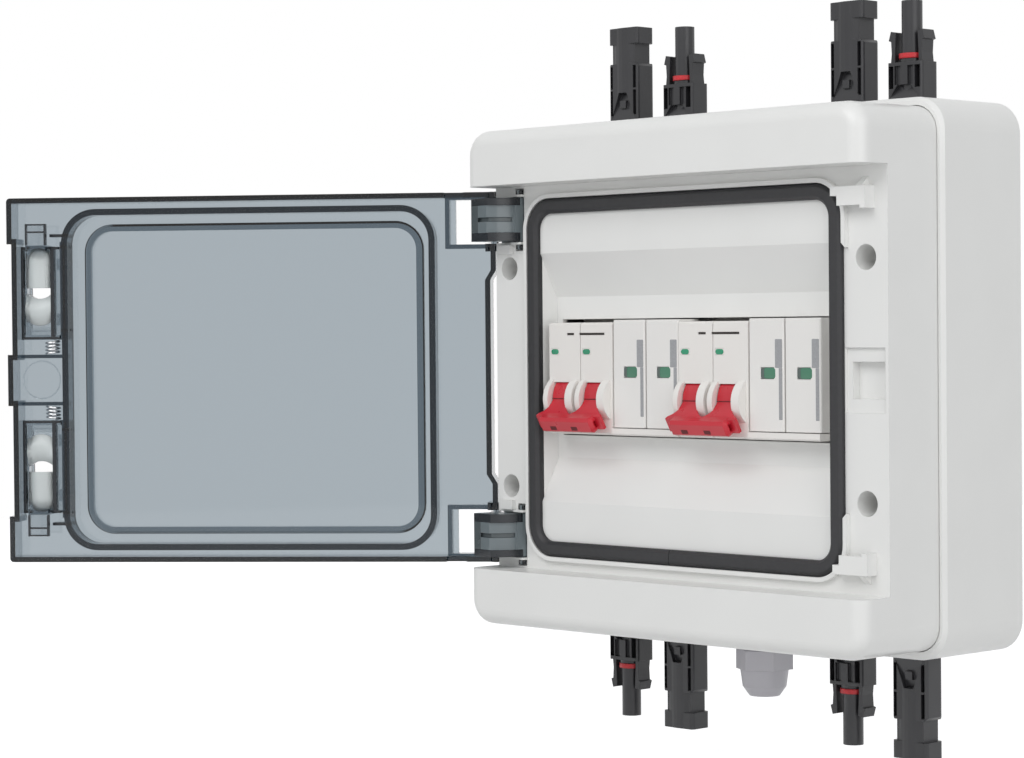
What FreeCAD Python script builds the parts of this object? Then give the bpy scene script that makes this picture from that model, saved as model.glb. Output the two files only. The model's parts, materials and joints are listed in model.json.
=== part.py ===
import FreeCAD, Part
import math
import os

from FreeCAD import Vector

# Solar direct-current breaker box, wall mounted, with its door open.
# Millimetres. X is to the right and Z is up, seen from the front.
# A depth is a distance in front of the flat back face, so Y is minus the depth.
# The origin is the centre of the back face. The door, its hinge links and its
# latches are drawn closed, and turned open at the end.

# Driving dimensions of the case
SEAM_DEPTH = 50.0
BAND_FRONT = 93.8
BASE_WIDTH = 211.6
BASE_HEIGHT = 206.8
BASE_CORNER = 12.5
BASE_WALL = 2.8
BACK_EDGE = 2.8
RIM_EDGE = 1.5
COVER_WIDTH = 206.0
COVER_HEIGHT = 200.0
COVER_CORNER = 10.0
COVER_WALL = 2.6
COVER_EDGE_RADIUS = 6.0
COVER_EDGE_INSIDE = 2.4
RECESS_HALF = 77.5
RECESS_FLOOR = 78.3
FIT_GAP = 0.3
SHAFT_GAP = 0.05

# Step between base and cover
LEDGE_DEPTH = 47.0
LEDGE_THICKNESS = 3.5
LEDGE_REACH = 3.9

# Wells for the cover screws
WELL_INSET = 10.1
WELL_Z = 44.4
WELL_RADIUS = 4.65
WELL_WALL = 1.9
WELL_SEAT = 58.0
WELL_SEAT_THICKNESS = 3.0
BOSS_HALF = 5.4

# Wall fixing
WALL_HOLE_INSET_X = 21.8
WALL_HOLE_INSET_Z = 23.4
WALL_HOLE_RADIUS = 2.6

# Dish with the opening for the switchgear, and the door gasket round it
GASKET_CENTRE_X = 1.0
GASKET_INSET = 21.25
GASKET_HALF_Z = 71.9
GASKET_WIDTH = 6.0
GASKET_CORNER = 12.5
GASKET_GROOVE = 1.0
GASKET_PROUD = 2.7
GASKET_CROWN = 1.3
GASKET_JOINT = 0.25
GASKET_JOINT_X = -3.0
LIP_WIDTH = 1.8
LIP_HEIGHT = 2.0
LIP_GAP_HALF = 53.0
DISH_TOP_Z = 50.0
DISH_FLOOR_Z = 32.5
DISH_FLOOR = 69.0

# Row of switchgear on its rail
ROW_POLES = 8
ROW_SIDE = 32.0
ROW_CENTRE_X = 0.25
ROW_GAP = 0.9
FACE_HEIGHT = 45.0
FACE_DEPTH = 77.7
SHOULDER_DEPTH = 58.0
BODY_HEIGHT = 80.0
BODY_GAP = 0.12
RAIL_FRONT = 20.0
RAIL_HEIGHT = 35.0
RAIL_CHANNEL = 27.0
RAIL_DEPTH = 7.5
RAIL_SHEET = 1.0
RAIL_SIDE = 19.0
RAIL_END = 6.0
RAIL_BOSS_HALF = 5.0
RAIL_SLOT_PITCH = 25.0
RAIL_SLOT_LENGTH = 15.0
RAIL_SLOT_WIDTH = 5.2

# Breaker face and its red rocker
ROCKER_PIVOT_DEPTH = 68.5
ROCKER_PIVOT_Z = -8.5
ROCKER_PIN_RADIUS = 1.5
ROCKER_DRUM_RADIUS = 10.8
ROCKER_SLOT_WIDTH = 9.6
ROCKER_OFFSET = -1.2
ROCKER_ANGLE = 26.3
ROCKER_BAR_NEAR = 13.7
ROCKER_BAR_FAR = 20.0
ROCKER_BAR_HALF = 4.1
ROCKER_BAR_SIDE = 2.8
ROCKER_REACH = 9.4
ROCKER_REACH_TOP = 6.7
ROCKER_REACH_BACK = 6.0
LEVER_LOW = 4.2
LEVER_HIGH = 1.5
BAR_MARK_HALF = 1.7
BAR_MARKS = (-7.0, 4.6)
GUARD_RADIUS = 9.4
GUARD_DEPTH = 72.4
GUARD_LEFT = 0.3
GUARD_RIGHT = 1.4

INDICATOR_SIDE = 3.3
INDICATOR_Z = 10.4
INDICATOR_WIDTH = 4.4
INDICATOR_HEIGHT = 2.4
MARK_SLOT_Z = 17.0
MARK_SLOT_HEIGHT = 0.9
MARK_SLOT_SINK = 1.6
MARK_SLOTS = ((-7.6, -3.6), (-0.7, 13.4))
FACE_EDGE = 0.8
FACE_SPLIT = 0.3

# Back and terminals of every module
MODULE_FOOT = 5.0
RAIL_GAP = 0.2
TERMINAL_DEPTH = 36.0
TERMINAL_Z = 32.0
TERMINAL_WELL = 3.6
TERMINAL_MOUTH_HALF = 4.0
TERMINAL_MOUTH_REACH = 9.0
CLIP_HALF = 4.5
CLIP_REACH = 4.0

# Surge protector cartridges
CARTRIDGE_BACK = 40.0
CARTRIDGE_LEDGE = 2.8
CARTRIDGE_GAP = 0.3
FLAG_WIDTH = 6.4
FLAG_HEIGHT = 4.4
FLAG_OFFSET = 0.6
FLAG_Z = 2.4
FLAG_INSET = 1.4
CARTRIDGE_PROUD = 0.4
LEDGE_PROUD = 0.9

# Door, drawn closed
DOOR_OVERHANG = 1.0
DOOR_WIDTH = 205.7
DOOR_HALF = 76.15
DOOR_RIM = 79.0
DOOR_FRONT = 92.5
DOOR_WALL = 2.2
DOOR_CORNER = 1.6
DOOR_EDGE = 0.9
DOOR_NOTCH_DEPTH = 2.0
DOOR_NOTCH_NEAR = 10.7
DOOR_NOTCH_FAR = 57.0
HINGE_STEP = 2.4
HINGE_STEP_NEAR = 40.0
HINGE_STEP_FAR = 44.0
WINDOW_RISE = 3.2
WINDOW_NEAR = 31.5
WINDOW_INSET = 30.1
WINDOW_WALL = 3.0
WINDOW_HALF = 65.3
WINDOW_CORNER = 12.0
RIB_NEAR = 25.6
RIB_INSET = 22.6
RIB_HALF = 71.4
RIB_CORNER = 14.5
RIB_THICKNESS = 2.6

# Hinge links: a pin in the cover and a pin in the door
COVER_PIN_INSET = 16.4
COVER_PIN_DEPTH = 78.0
DOOR_PIN_OUTSET = 0.3
DOOR_PIN_DEPTH = 79.6
LINK_LOW = 55.4
LINK_HIGH = 72.8
LINK_REACH = 18.9
LINK_BARREL = 2.1
LINK_EYE = 2.4
LINK_FRONT = 92.2
LINK_PIN_RADIUS = 1.25
LINK_PIN_LENGTH = 3.4
LINK_GAP = 0.5
LINK_SWING = 9.0
BEARING_HALF = 2.9
BEARING_RISE = 2.7
BEARING_OUTER = 1.4
LINK_POCKET_DROP = 2.6
PIN_CELL_HALF = 2.4
LUG_HEIGHT = 3.2
SEAT_NEAR = 11.5
SEAT_FAR = 4.0
SEAT_LOW = 5.2
DOOR_SWING = 130.0
HINGE_STEP_X = 14.0
HATCH_NEAR = 2.3
HATCH_FAR = 17.7
HATCH_RIB = 1.8
HATCH_SETBACK = 2.2
HATCH_RIB_DEPTH = 85.5

# Latch sliders in the free edge of the door
TRAY_WIDTH = 16.2
TRAY_INSET = 4.6
TRAY_LOW = 16.9
TRAY_HIGH = 56.0
TRAY_BACK = 87.3
TRAY_PLATE = 2.7
TRAY_WALL = 2.0
TRAY_WALL_BACK = 84.3
TRAY_RUNNER = 1.2
TRAY_RUNNER_INSET = 2.1
GUIDE_LEDGE = 1.6
TONGUE_WIDTH = 8.5
TONGUE_INSET = 7.9
TONGUE_TIP = 65.4
TONGUE_BACK = 79.3
TONGUE_THICKNESS = 2.2
FINGER_INSET = 12.7
FINGER_RADIUS = 5.9
FINGER_SHELL = 0.9
FINGER_TOP = 47.0
FINGER_CUT = 38.6
FINGER_ARC_Z = 41.5
FINGER_ARC_RADIUS = 7.6
SCOOP_RADIUS = 9.0
SCOOP_RISE = 6.6
SCOOP_ABOVE = 9.5
SPRING_INSET = 17.2
SPRING_RADIUS = 2.7
SPRING_WIRE = 0.4
SPRING_TURNS = 5
SPRING_STEPS = 10
MIDDLE_RIB = 1.5

# Latch keepers on the cover
KEEPER_INSET = 6.0
KEEPER_WIDTH = 16.1
KEEPER_LOW = 63.0
KEEPER_BAR_LOW = 66.6
KEEPER_BAR_HIGH = 70.0
KEEPER_TOP = 83.8
KEEPER_LEG = 2.6

# Shallow window on the cover behind the middle of the door's free edge
PANEL_WINDOW_INSET = 1.6
PANEL_WINDOW_WIDTH = 18.3
PANEL_WINDOW_HALF = 11.8
PANEL_WINDOW_SINK = 1.2
PANEL_POCKET_WIDTH = 15.8
PANEL_POCKET_HALF = 6.7
PANEL_POCKET_SINK = 5.0

# Panel connectors in the top and bottom walls
CONNECTOR_DEPTH = 25.0
CONNECTOR_WIDTH = 16.4
CONNECTOR_THICKNESS = 10.4
CONNECTOR_CORNER = 1.6
CONNECTOR_SHOULDER = 1.2
CONNECTOR_FOOT = 1.0
CONNECTOR_FOOT_INSET = 0.8
CONNECTOR_SHANK = 6.0
SHANK_LENGTH = 13.0
COLUMN_HALF = 5.75
COLUMN_FRONT = 5.6
COLUMN_BULGE = 14.0
GROOVE_WIDTH = 1.55
GROOVE_BACK = 2.2
GROOVE_LOW = 3.6
GROOVE_BRIDGE = 0.8
RAMP_LOW = 0.5
RAMP_LOW_HALF = 7.2
RAMP_BACK = 3.0
STUB_HALF = 1.6
SOCKET_HEIGHT = 39.8
SOCKET_BODY_HEIGHT = 25.0
SOCKET_COLLAR_HEIGHT = 6.7
WAIST_HALF = 6.3
WAIST_THICKNESS = 8.8
SOCKET_RAMP_TOP = 12.9
SOCKET_BORE_LOW = 14.0
PLUG_BODY_HEIGHT = 14.5
PLUG_HEIGHT = 37.8
PLUG_TUBE_RADIUS = 3.95
PLUG_NECK_RADIUS = 4.6
PLUG_WINDOW_LOW = 4.7
PLUG_WINDOW_HIGH = 13.1
PLUG_WINDOW_NEAR = 5.0
PLUG_WINDOW_FAR = 7.4
PLUG_RAMP_TOP = 6.0
PLUG_RECESS = 1.2
ARM_TOP = 26.5
ARM_HALF_DEPTH = 3.4
RING_LOW = 15.95
RING_HEIGHT = 1.95
RING_RADIUS = 5.0
LOCKNUT_ACROSS = 17.0
LOCKNUT_HEIGHT = 4.5
TOP_SOCKETS = (-74.3, 44.6)
TOP_PLUGS = (-43.9, 72.7)
BOTTOM_PLUGS = (-77.0, 42.0)
BOTTOM_SOCKETS = (-46.0, 73.2)
CONTACT_RADIUS = 1.5
PIN_TIP = 34.2
PLUG_BORE_LOW = 18.0

# Cable gland in the bottom wall
GLAND_X = -3.3
GLAND_SHANK = 8.0
GLAND_BODY_ACROSS = 22.0
GLAND_BODY_HEIGHT = 5.0
GLAND_NECK_HEIGHT = 7.0
GLAND_NUT_ACROSS = 20.0
GLAND_NUT_HEIGHT = 18.6
GLAND_NUT_HEX = 8.0
GLAND_BORE = 4.0
GLAND_SEAL_WALL = 1.6
GLAND_LIP = 1.6

# Worked out from the above
COVER_SIDE = COVER_WIDTH / 2
WELL_X = COVER_SIDE - WELL_INSET
WALL_HOLE_X = BASE_WIDTH / 2 - WALL_HOLE_INSET_X
WALL_HOLE_Z = BASE_HEIGHT / 2 - WALL_HOLE_INSET_Z
POLE_WIDTH = 2 * (COVER_SIDE - ROW_SIDE) / ROW_POLES
POLE_LEFT = ROW_CENTRE_X - ROW_POLES * POLE_WIDTH / 2
RAIL_LENGTH = COVER_WIDTH - 2 * RAIL_SIDE
RAIL_BOSS_X = RAIL_LENGTH / 2 - RAIL_END
COVER_BACK = LEDGE_DEPTH + FIT_GAP
GASKET_HALF_X = COVER_SIDE - GASKET_INSET
DISH_LEFT = GASKET_CENTRE_X - GASKET_HALF_X + GASKET_WIDTH
DISH_RIGHT = GASKET_CENTRE_X + GASKET_HALF_X - GASKET_WIDTH
GASKET_FRONT = RECESS_FLOOR + GASKET_PROUD
CAVITY_HALF_X = COVER_SIDE - COVER_WALL
CAVITY_HALF_Z = COVER_HEIGHT / 2 - COVER_WALL
COVER_PIN_X = COVER_PIN_INSET - COVER_SIDE
DOOR_PIN_X = -DOOR_PIN_OUTSET - COVER_SIDE
DOOR_LEFT = -DOOR_OVERHANG - COVER_SIDE
PANEL_BACK = DOOR_FRONT - DOOR_WALL
WINDOW_FAR = DOOR_WIDTH - WINDOW_INSET
RIB_FAR = DOOR_WIDTH - RIB_INSET
TRAY_FAR = DOOR_WIDTH - TRAY_INSET
TRAY_NEAR = TRAY_FAR - TRAY_WIDTH
TONGUE_FAR = DOOR_WIDTH - TONGUE_INSET
TONGUE_NEAR = TONGUE_FAR - TONGUE_WIDTH
FINGER_U = DOOR_WIDTH - FINGER_INSET
SPRING_U = DOOR_WIDTH - SPRING_INSET
KEEPER_RIGHT = COVER_SIDE - KEEPER_INSET
KEEPER_LEFT = KEEPER_RIGHT - KEEPER_WIDTH
PANEL_WINDOW_RIGHT = COVER_SIDE - PANEL_WINDOW_INSET
PANEL_WINDOW_LEFT = PANEL_WINDOW_RIGHT - PANEL_WINDOW_WIDTH
PANEL_POCKET_LEFT = PANEL_WINDOW_RIGHT - PANEL_POCKET_WIDTH
WAIST_LOW = SOCKET_BODY_HEIGHT
WAIST_HIGH = SOCKET_HEIGHT - SOCKET_COLLAR_HEIGHT


def at(x, depth, z):
    return Vector(x, -depth, z)


def block(x0, x1, d0, d1, z0, z1):
    return Part.makeBox(x1 - x0, d1 - d0, z1 - z0, at(x0, d1, z0))


def prism(points, place, travel):
    """A straight-sided outline pushed along one direction."""
    corners = [place(a, b) for a, b in points]
    outline = Part.makePolygon(corners + [corners[0]])
    return Part.Face(outline).extrude(travel)


def along_x(points, x0, x1):
    """An outline of depth and height, pushed along X."""
    return prism(points, lambda depth, z: at(x0, depth, z), Vector(x1 - x0, 0, 0))


def along_z(points, z0, z1):
    """An outline of X and depth, pushed along Z."""
    return prism(points, lambda x, depth: at(x, depth, z0), Vector(0, 0, z1 - z0))


def along_depth(points, d0, d1):
    """An outline seen from the front, pushed forward."""
    return prism(points, lambda x, z: at(x, d0, z), Vector(0, d0 - d1, 0))


def rounded_wire(u0, u1, v0, v1, radius, place):
    """A rectangle with round corners, in the plane that place gives."""
    turns = ((u1 - radius, v1 - radius, 0), (u0 + radius, v1 - radius, 90),
             (u0 + radius, v0 + radius, 180), (u1 - radius, v0 + radius, 270))
    edges = []
    first = None
    last = None
    for u, v, start in turns:
        points = []
        for degrees in (start, start + 45, start + 90):
            angle = math.radians(degrees)
            points.append(place(u + radius * math.cos(angle), v + radius * math.sin(angle)))
        if last is not None and (last - points[0]).Length > 1e-6:
            edges.append(Part.makeLine(last, points[0]))
        edges.append(Part.Arc(*points).toShape())
        first = first or points[0]
        last = points[2]
    if (last - first).Length > 1e-6:
        edges.append(Part.makeLine(last, first))
    return Part.Wire(edges)


def rounded_prism(x0, x1, z0, z1, radius, d0, d1):
    """A rounded rectangle seen from the front, from one depth to another."""
    wire = rounded_wire(x0, x1, z0, z1, radius, lambda x, z: at(x, d0, z))
    return Part.Face(wire).extrude(Vector(0, d0 - d1, 0))


def stepped_corners(half_a, half_b, radius):
    """A rectangle round the origin whose corners are rounded in three flat steps."""
    points = []
    for turn, (a, b) in enumerate(((1, 1), (-1, 1), (-1, -1), (1, -1))):
        for step in range(4):
            angle = math.radians(90 * turn + 30 * step)
            points.append((a * (half_a - radius) + radius * math.cos(angle),
                           b * (half_b - radius) + radius * math.sin(angle)))
    return points


def rod_along_depth(radius, x, z, d0, d1):
    return Part.makeCylinder(radius, d1 - d0, at(x, d0, z), Vector(0, -1, 0))


def rod_along_x(radius, depth, z, x0, x1):
    return Part.makeCylinder(radius, x1 - x0, at(x0, depth, z), Vector(1, 0, 0))


def rod_along_z(radius, x, depth, z0, z1):
    return Part.makeCylinder(radius, z1 - z0, at(x, depth, z0), Vector(0, 0, 1))


def even_sided(sides, radius, a, b):
    """Corners of a polygon with equal sides round a point."""
    points = []
    for step in range(sides):
        angle = 2 * math.pi * (step + 0.5) / sides
        points.append((a + radius * math.cos(angle), b + radius * math.sin(angle)))
    return points


def hexagon_along_z(across, z0, z1):
    corner = across / math.sqrt(3)
    return along_z(even_sided(6, corner, 0, 0), z0, z1)


def joined(shapes):
    return shapes[0].multiFuse(shapes[1:]).removeSplitter()


def flat_edges(shape, depth):
    """The edges that lie wholly at one depth."""
    chosen = []
    for edge in shape.Edges:
        box = edge.BoundBox
        if abs(box.YMin + depth) < 1e-4 and abs(box.YMax + depth) < 1e-4:
            chosen.append(edge)
    return chosen


def mirrored(shape):
    """The same shape on the other side of the middle height."""
    return shape.mirror(Vector(0, 0, 0), Vector(0, 0, 1))


def mirror_signs():
    return ((1, 1), (1, -1), (-1, 1), (-1, -1))


def base_box():
    """The deep back half: walls, ledge and rim, with its screw bosses and holes."""
    half_x = BASE_WIDTH / 2
    half_z = BASE_HEIGHT / 2
    outside = rounded_prism(-half_x, half_x, -half_z, half_z, BASE_CORNER, 0, SEAM_DEPTH)
    outside = outside.makeChamfer(BACK_EDGE, flat_edges(outside, 0))
    outside = outside.makeChamfer(RIM_EDGE, flat_edges(outside, SEAM_DEPTH))
    inner_x = half_x - BASE_WALL
    inner_z = half_z - BASE_WALL
    cavity = rounded_prism(-inner_x, inner_x, -inner_z, inner_z, BASE_CORNER - BASE_WALL,
                           BASE_WALL, LEDGE_DEPTH - LEDGE_THICKNESS)
    throat_x = COVER_WIDTH / 2 - LEDGE_REACH
    throat_z = COVER_HEIGHT / 2 - LEDGE_REACH
    throat_corner = COVER_CORNER - LEDGE_REACH
    throat = rounded_prism(-throat_x, throat_x, -throat_z, throat_z, throat_corner,
                           LEDGE_DEPTH - LEDGE_THICKNESS - 1, LEDGE_DEPTH + 1)
    mouth_x = COVER_WIDTH / 2 + FIT_GAP
    mouth_z = COVER_HEIGHT / 2 + FIT_GAP
    mouth = rounded_prism(-mouth_x, mouth_x, -mouth_z, mouth_z, COVER_CORNER + FIT_GAP,
                          LEDGE_DEPTH, SEAM_DEPTH + 1)
    box = outside.cut(cavity).cut(throat).cut(mouth)
    solids = [box]
    for sx, sz in mirror_signs():
        solids.extend(cover_boss(sx, sz))
    for side in (-1, 1):
        x = side * RAIL_BOSS_X
        solids.append(block(x - RAIL_BOSS_HALF, x + RAIL_BOSS_HALF, BASE_WALL - 1,
                            RAIL_FRONT - RAIL_DEPTH, -RAIL_BOSS_HALF, RAIL_BOSS_HALF))
    box = joined(solids)
    holes = []
    for sx, sz in mirror_signs():
        holes.append(rod_along_depth(WALL_HOLE_RADIUS, sx * WALL_HOLE_X, sz * WALL_HOLE_Z, -1,
                                     BASE_WALL + 1))
    for x, sign in connector_places():
        holes.append(wall_hole(CONNECTOR_SHANK + SHAFT_GAP, x, sign))
    holes.append(wall_hole(GLAND_SHANK + SHAFT_GAP, GLAND_X, -1))
    return box.cut(holes)


def cover_boss(sx, sz):
    """A square boss for one cover screw, joined to the side wall up to the ledge."""
    low = sz * WELL_Z - BOSS_HALF
    high = sz * WELL_Z + BOSS_HALF
    spans = ((WELL_X + BOSS_HALF, WELL_SEAT - WELL_SEAT_THICKNESS),
             (BASE_WIDTH / 2 - BASE_WALL / 2, LEDGE_DEPTH - LEDGE_THICKNESS + 1))
    boss = []
    for outer, top in spans:
        x0, x1 = sorted((sx * (WELL_X - BOSS_HALF), sx * outer))
        boss.append(block(x0, x1, BASE_WALL - 1, top, low, high))
    return boss


def connector_places():
    """Every connector's X, with 1 in the top wall and -1 in the bottom wall."""
    top = [(x, 1) for x in TOP_SOCKETS + TOP_PLUGS]
    bottom = [(x, -1) for x in BOTTOM_SOCKETS + BOTTOM_PLUGS]
    return top + bottom


def wall_hole(radius, x, sign):
    near = BASE_HEIGHT / 2 - 2 * BASE_WALL
    far = BASE_HEIGHT / 2 + 1
    hole = rod_along_z(radius, x, CONNECTOR_DEPTH, near, far)
    return hole if sign > 0 else mirrored(hole)


def cover_shell():
    """The front half as moulded: a rounded tray with two bands and a sunk middle."""
    half_x = COVER_WIDTH / 2
    half_z = COVER_HEIGHT / 2
    outside = rounded_prism(-half_x, half_x, -half_z, half_z, COVER_CORNER,
                            COVER_BACK, BAND_FRONT)
    outside = outside.makeFillet(COVER_EDGE_RADIUS, flat_edges(outside, BAND_FRONT))
    outside = outside.cut(block(-half_x - 1, half_x + 1, RECESS_FLOOR, BAND_FRONT + 1,
                                -RECESS_HALF, RECESS_HALF))
    inside = rounded_prism(-CAVITY_HALF_X, CAVITY_HALF_X, -CAVITY_HALF_Z, CAVITY_HALF_Z,
                           COVER_CORNER - COVER_WALL, COVER_BACK - 1, BAND_FRONT - COVER_WALL)
    inside = inside.makeChamfer(COVER_EDGE_INSIDE, flat_edges(inside, BAND_FRONT - COVER_WALL))
    inside = inside.cut(block(-half_x - 1, half_x + 1, RECESS_FLOOR - COVER_WALL, BAND_FRONT + 1,
                              -RECESS_HALF - COVER_WALL, RECESS_HALF + COVER_WALL))
    return outside.cut(inside)


def dish_outline(thickness):
    """Depth and height of the dish, or of its back when given a thickness."""
    top = DISH_TOP_Z + thickness
    floor_z = DISH_FLOOR_Z + thickness / 2
    floor = DISH_FLOOR - thickness
    mouth = RECESS_FLOOR + 1 if thickness == 0 else RECESS_FLOOR - COVER_WALL / 2
    return [(mouth, top), (RECESS_FLOOR - thickness, top), (floor, floor_z),
            (floor, -floor_z), (RECESS_FLOOR - thickness, -top), (mouth, -top)]


def gasket_ring(grow, width, corner, d0, d1):
    """A ring that follows the gasket, grown outwards and of a given width."""
    x0 = GASKET_CENTRE_X - GASKET_HALF_X - grow
    x1 = GASKET_CENTRE_X + GASKET_HALF_X + grow
    z1 = GASKET_HALF_Z + grow
    outer = rounded_prism(x0, x1, -z1, z1, corner, d0, d1)
    inner = rounded_prism(x0 + width, x1 - width, -z1 + width, z1 - width,
                          max(corner - width, 0.5), d0 - 1, d1 + 1)
    return outer.cut(inner)


def gasket_lip():
    """The raised edge round the gasket, left open along the latch side."""
    lip = gasket_ring(LIP_WIDTH + FIT_GAP / 2, LIP_WIDTH, GASKET_CORNER + LIP_WIDTH,
                      RECESS_FLOOR - 1, RECESS_FLOOR + LIP_HEIGHT)
    inside_x = GASKET_CENTRE_X + GASKET_HALF_X - 3
    reach = LIP_WIDTH + 4
    opening = [(inside_x, LIP_GAP_HALF), (inside_x + reach, LIP_GAP_HALF - reach),
               (inside_x + reach + 2, LIP_GAP_HALF - reach),
               (inside_x + reach + 2, reach - LIP_GAP_HALF),
               (inside_x + reach, reach - LIP_GAP_HALF), (inside_x, -LIP_GAP_HALF)]
    return lip.cut(along_depth(opening, RECESS_FLOOR, RECESS_FLOOR + LIP_HEIGHT + 1))


def hinge_pocket_block():
    """Thicker moulding behind the floor, round one hinge pocket."""
    return block(-CAVITY_HALF_X - 1, COVER_PIN_X + 6, link_pocket_floor() - COVER_WALL,
                 RECESS_FLOOR - 1, LINK_LOW - LINK_PIN_LENGTH - 3, RECESS_HALF + 1)


def link_pocket_floor():
    return COVER_PIN_DEPTH - LINK_EYE - LINK_POCKET_DROP


def hinge_pocket():
    """The channel that one link swings in, with its pin slots."""
    left = -COVER_WIDTH / 2 - 1
    floor = link_pocket_floor()
    right = COVER_PIN_X + LINK_BARREL + LINK_GAP
    low = LINK_LOW - LINK_GAP
    high = LINK_HIGH + LINK_GAP
    reach = LINK_PIN_LENGTH + LINK_GAP
    channel = block(left, right, floor, RECESS_FLOOR + 3, low, high)
    slot_radius = LINK_PIN_RADIUS + SHAFT_GAP
    slot = rod_along_z(slot_radius, COVER_PIN_X, COVER_PIN_DEPTH, LINK_LOW - reach,
                       LINK_HIGH + reach)
    cells = []
    for z0, z1 in ((LINK_HIGH + BEARING_OUTER, LINK_HIGH + reach),
                   (LINK_LOW - reach, LINK_LOW - BEARING_OUTER)):
        cells.append(block(COVER_PIN_X - PIN_CELL_HALF, COVER_PIN_X + PIN_CELL_HALF,
                           COVER_PIN_DEPTH - PIN_CELL_HALF, RECESS_FLOOR + 3, z0, z1))
    return channel.multiFuse([slot] + cells)


def hinge_side_step():
    """The lowered edge of the floor that the hinge side of the door moves over."""
    return block(-COVER_WIDTH / 2 - 1, COVER_PIN_X - HINGE_STEP_X, link_pocket_floor(),
                 RECESS_FLOOR + 1, -RECESS_HALF, RECESS_HALF)


def hinge_side_block():
    """The wall behind the lowered edge, stepped back with it."""
    return block(-CAVITY_HALF_X - 1, COVER_PIN_X - HINGE_STEP_X + COVER_WALL,
                 link_pocket_floor() - COVER_WALL, RECESS_FLOOR - 1, -RECESS_HALF - 1,
                 RECESS_HALF + 1)


def hinge_bearing():
    """Webs that hold the two ends of a link's pin, and the seat beside the link."""
    webs = []
    width = BEARING_HALF
    top = COVER_PIN_DEPTH + BEARING_RISE
    for z0, z1 in ((LINK_HIGH + LINK_GAP, LINK_HIGH + BEARING_OUTER),
                   (LINK_LOW - BEARING_OUTER, LINK_LOW - LINK_GAP)):
        webs.append(block(COVER_PIN_X - width, COVER_PIN_X + width, link_pocket_floor() - 1, top,
                          z0, z1))
    seat = block(COVER_PIN_X - SEAT_NEAR, COVER_PIN_X - SEAT_FAR, RECESS_FLOOR - 1,
                 RECESS_FLOOR + LIP_HEIGHT, LINK_LOW - SEAT_LOW, LINK_LOW - BEARING_OUTER)
    webs.append(seat)
    return webs


def keeper():
    """The hooked ledge that a latch tongue slides under."""
    gap_top = TONGUE_BACK + TONGUE_THICKNESS + FIT_GAP
    bar = block(KEEPER_LEFT, KEEPER_RIGHT, RECESS_FLOOR - 1, KEEPER_TOP, KEEPER_BAR_LOW,
                KEEPER_BAR_HIGH)
    ledge = block(KEEPER_LEFT + 3, KEEPER_RIGHT, gap_top, KEEPER_TOP, KEEPER_LOW, KEEPER_BAR_LOW)
    leg = block(KEEPER_RIGHT - KEEPER_LEG, KEEPER_RIGHT, RECESS_FLOOR - 1, KEEPER_TOP,
                KEEPER_LOW - 1.2, KEEPER_BAR_LOW)
    gusset_end = DOOR_HALF - DOOR_WALL - 2 * FIT_GAP
    gusset = along_x([(RECESS_FLOOR - 1, KEEPER_BAR_HIGH - 1), (KEEPER_TOP - 1, KEEPER_BAR_HIGH - 1),
                      (KEEPER_TOP - 1, KEEPER_BAR_HIGH), (RECESS_FLOOR, gusset_end),
                      (RECESS_FLOOR - 1, gusset_end)],
                     KEEPER_RIGHT - 2 * KEEPER_LEG, KEEPER_RIGHT - KEEPER_LEG)
    return [bar, ledge, leg, gusset]


def panel_pocket_block():
    return block(PANEL_POCKET_LEFT - COVER_WALL, CAVITY_HALF_X + 1,
                 RECESS_FLOOR - PANEL_POCKET_SINK - COVER_WALL, RECESS_FLOOR - 1,
                 -PANEL_POCKET_HALF - COVER_WALL, PANEL_POCKET_HALF + COVER_WALL)


def front_cover():
    """Front half with bands, hinge pockets, keepers, gasket seat, dish and wells."""
    adds = [cover_shell()]
    adds.append(along_x(dish_outline(COVER_WALL), DISH_LEFT - COVER_WALL, DISH_RIGHT + COVER_WALL))
    adds.append(gasket_lip())
    adds.append(panel_pocket_block())
    adds.append(hinge_side_block())
    for upper in (True, False):
        pieces = [hinge_pocket_block()] + keeper() + [hinge_bearing()[-1]]
        adds.extend(pieces if upper else [mirrored(piece) for piece in pieces])
    for sx, sz in mirror_signs():
        around = WELL_RADIUS + WELL_WALL
        x0, x1 = sorted((sx * (WELL_X - around), sx * (CAVITY_HALF_X + 1)))
        adds.append(block(x0, x1, WELL_SEAT - WELL_SEAT_THICKNESS, RECESS_FLOOR - 1,
                          sz * WELL_Z - around, sz * WELL_Z + around))
    adds.append(gasket_ring(1.5, GASKET_WIDTH + 3, GASKET_CORNER + 1.5,
                            RECESS_FLOOR - COVER_WALL - GASKET_GROOVE, RECESS_FLOOR - 1))
    solid = joined(adds)
    cuts = [along_x(dish_outline(0), DISH_LEFT, DISH_RIGHT)]
    cuts.append(hinge_side_step())
    cuts.append(block(PANEL_WINDOW_LEFT, PANEL_WINDOW_RIGHT, RECESS_FLOOR - PANEL_WINDOW_SINK,
                      RECESS_FLOOR + 1, -PANEL_WINDOW_HALF, PANEL_WINDOW_HALF))
    cuts.append(block(PANEL_POCKET_LEFT, PANEL_WINDOW_RIGHT, RECESS_FLOOR - PANEL_POCKET_SINK,
                      RECESS_FLOOR + 1, -PANEL_POCKET_HALF, PANEL_POCKET_HALF))
    cuts.append(row_slot())
    cuts.append(gasket_ring(0, GASKET_WIDTH, GASKET_CORNER, RECESS_FLOOR - GASKET_GROOVE,
                            RECESS_FLOOR + 1))
    for sx, sz in mirror_signs():
        cuts.append(rod_along_depth(WELL_RADIUS, sx * WELL_X, sz * WELL_Z, WELL_SEAT,
                                    RECESS_FLOOR + 1))
    solid = solid.cut(cuts)
    for upper in (True, False):
        pocket = hinge_pocket()
        webs = [web.cut(pocket) for web in hinge_bearing()[:-1]]
        if not upper:
            pocket = mirrored(pocket)
            webs = [mirrored(web) for web in webs]
        solid = solid.cut(pocket).multiFuse(webs)
    return solid.removeSplitter()


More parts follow.
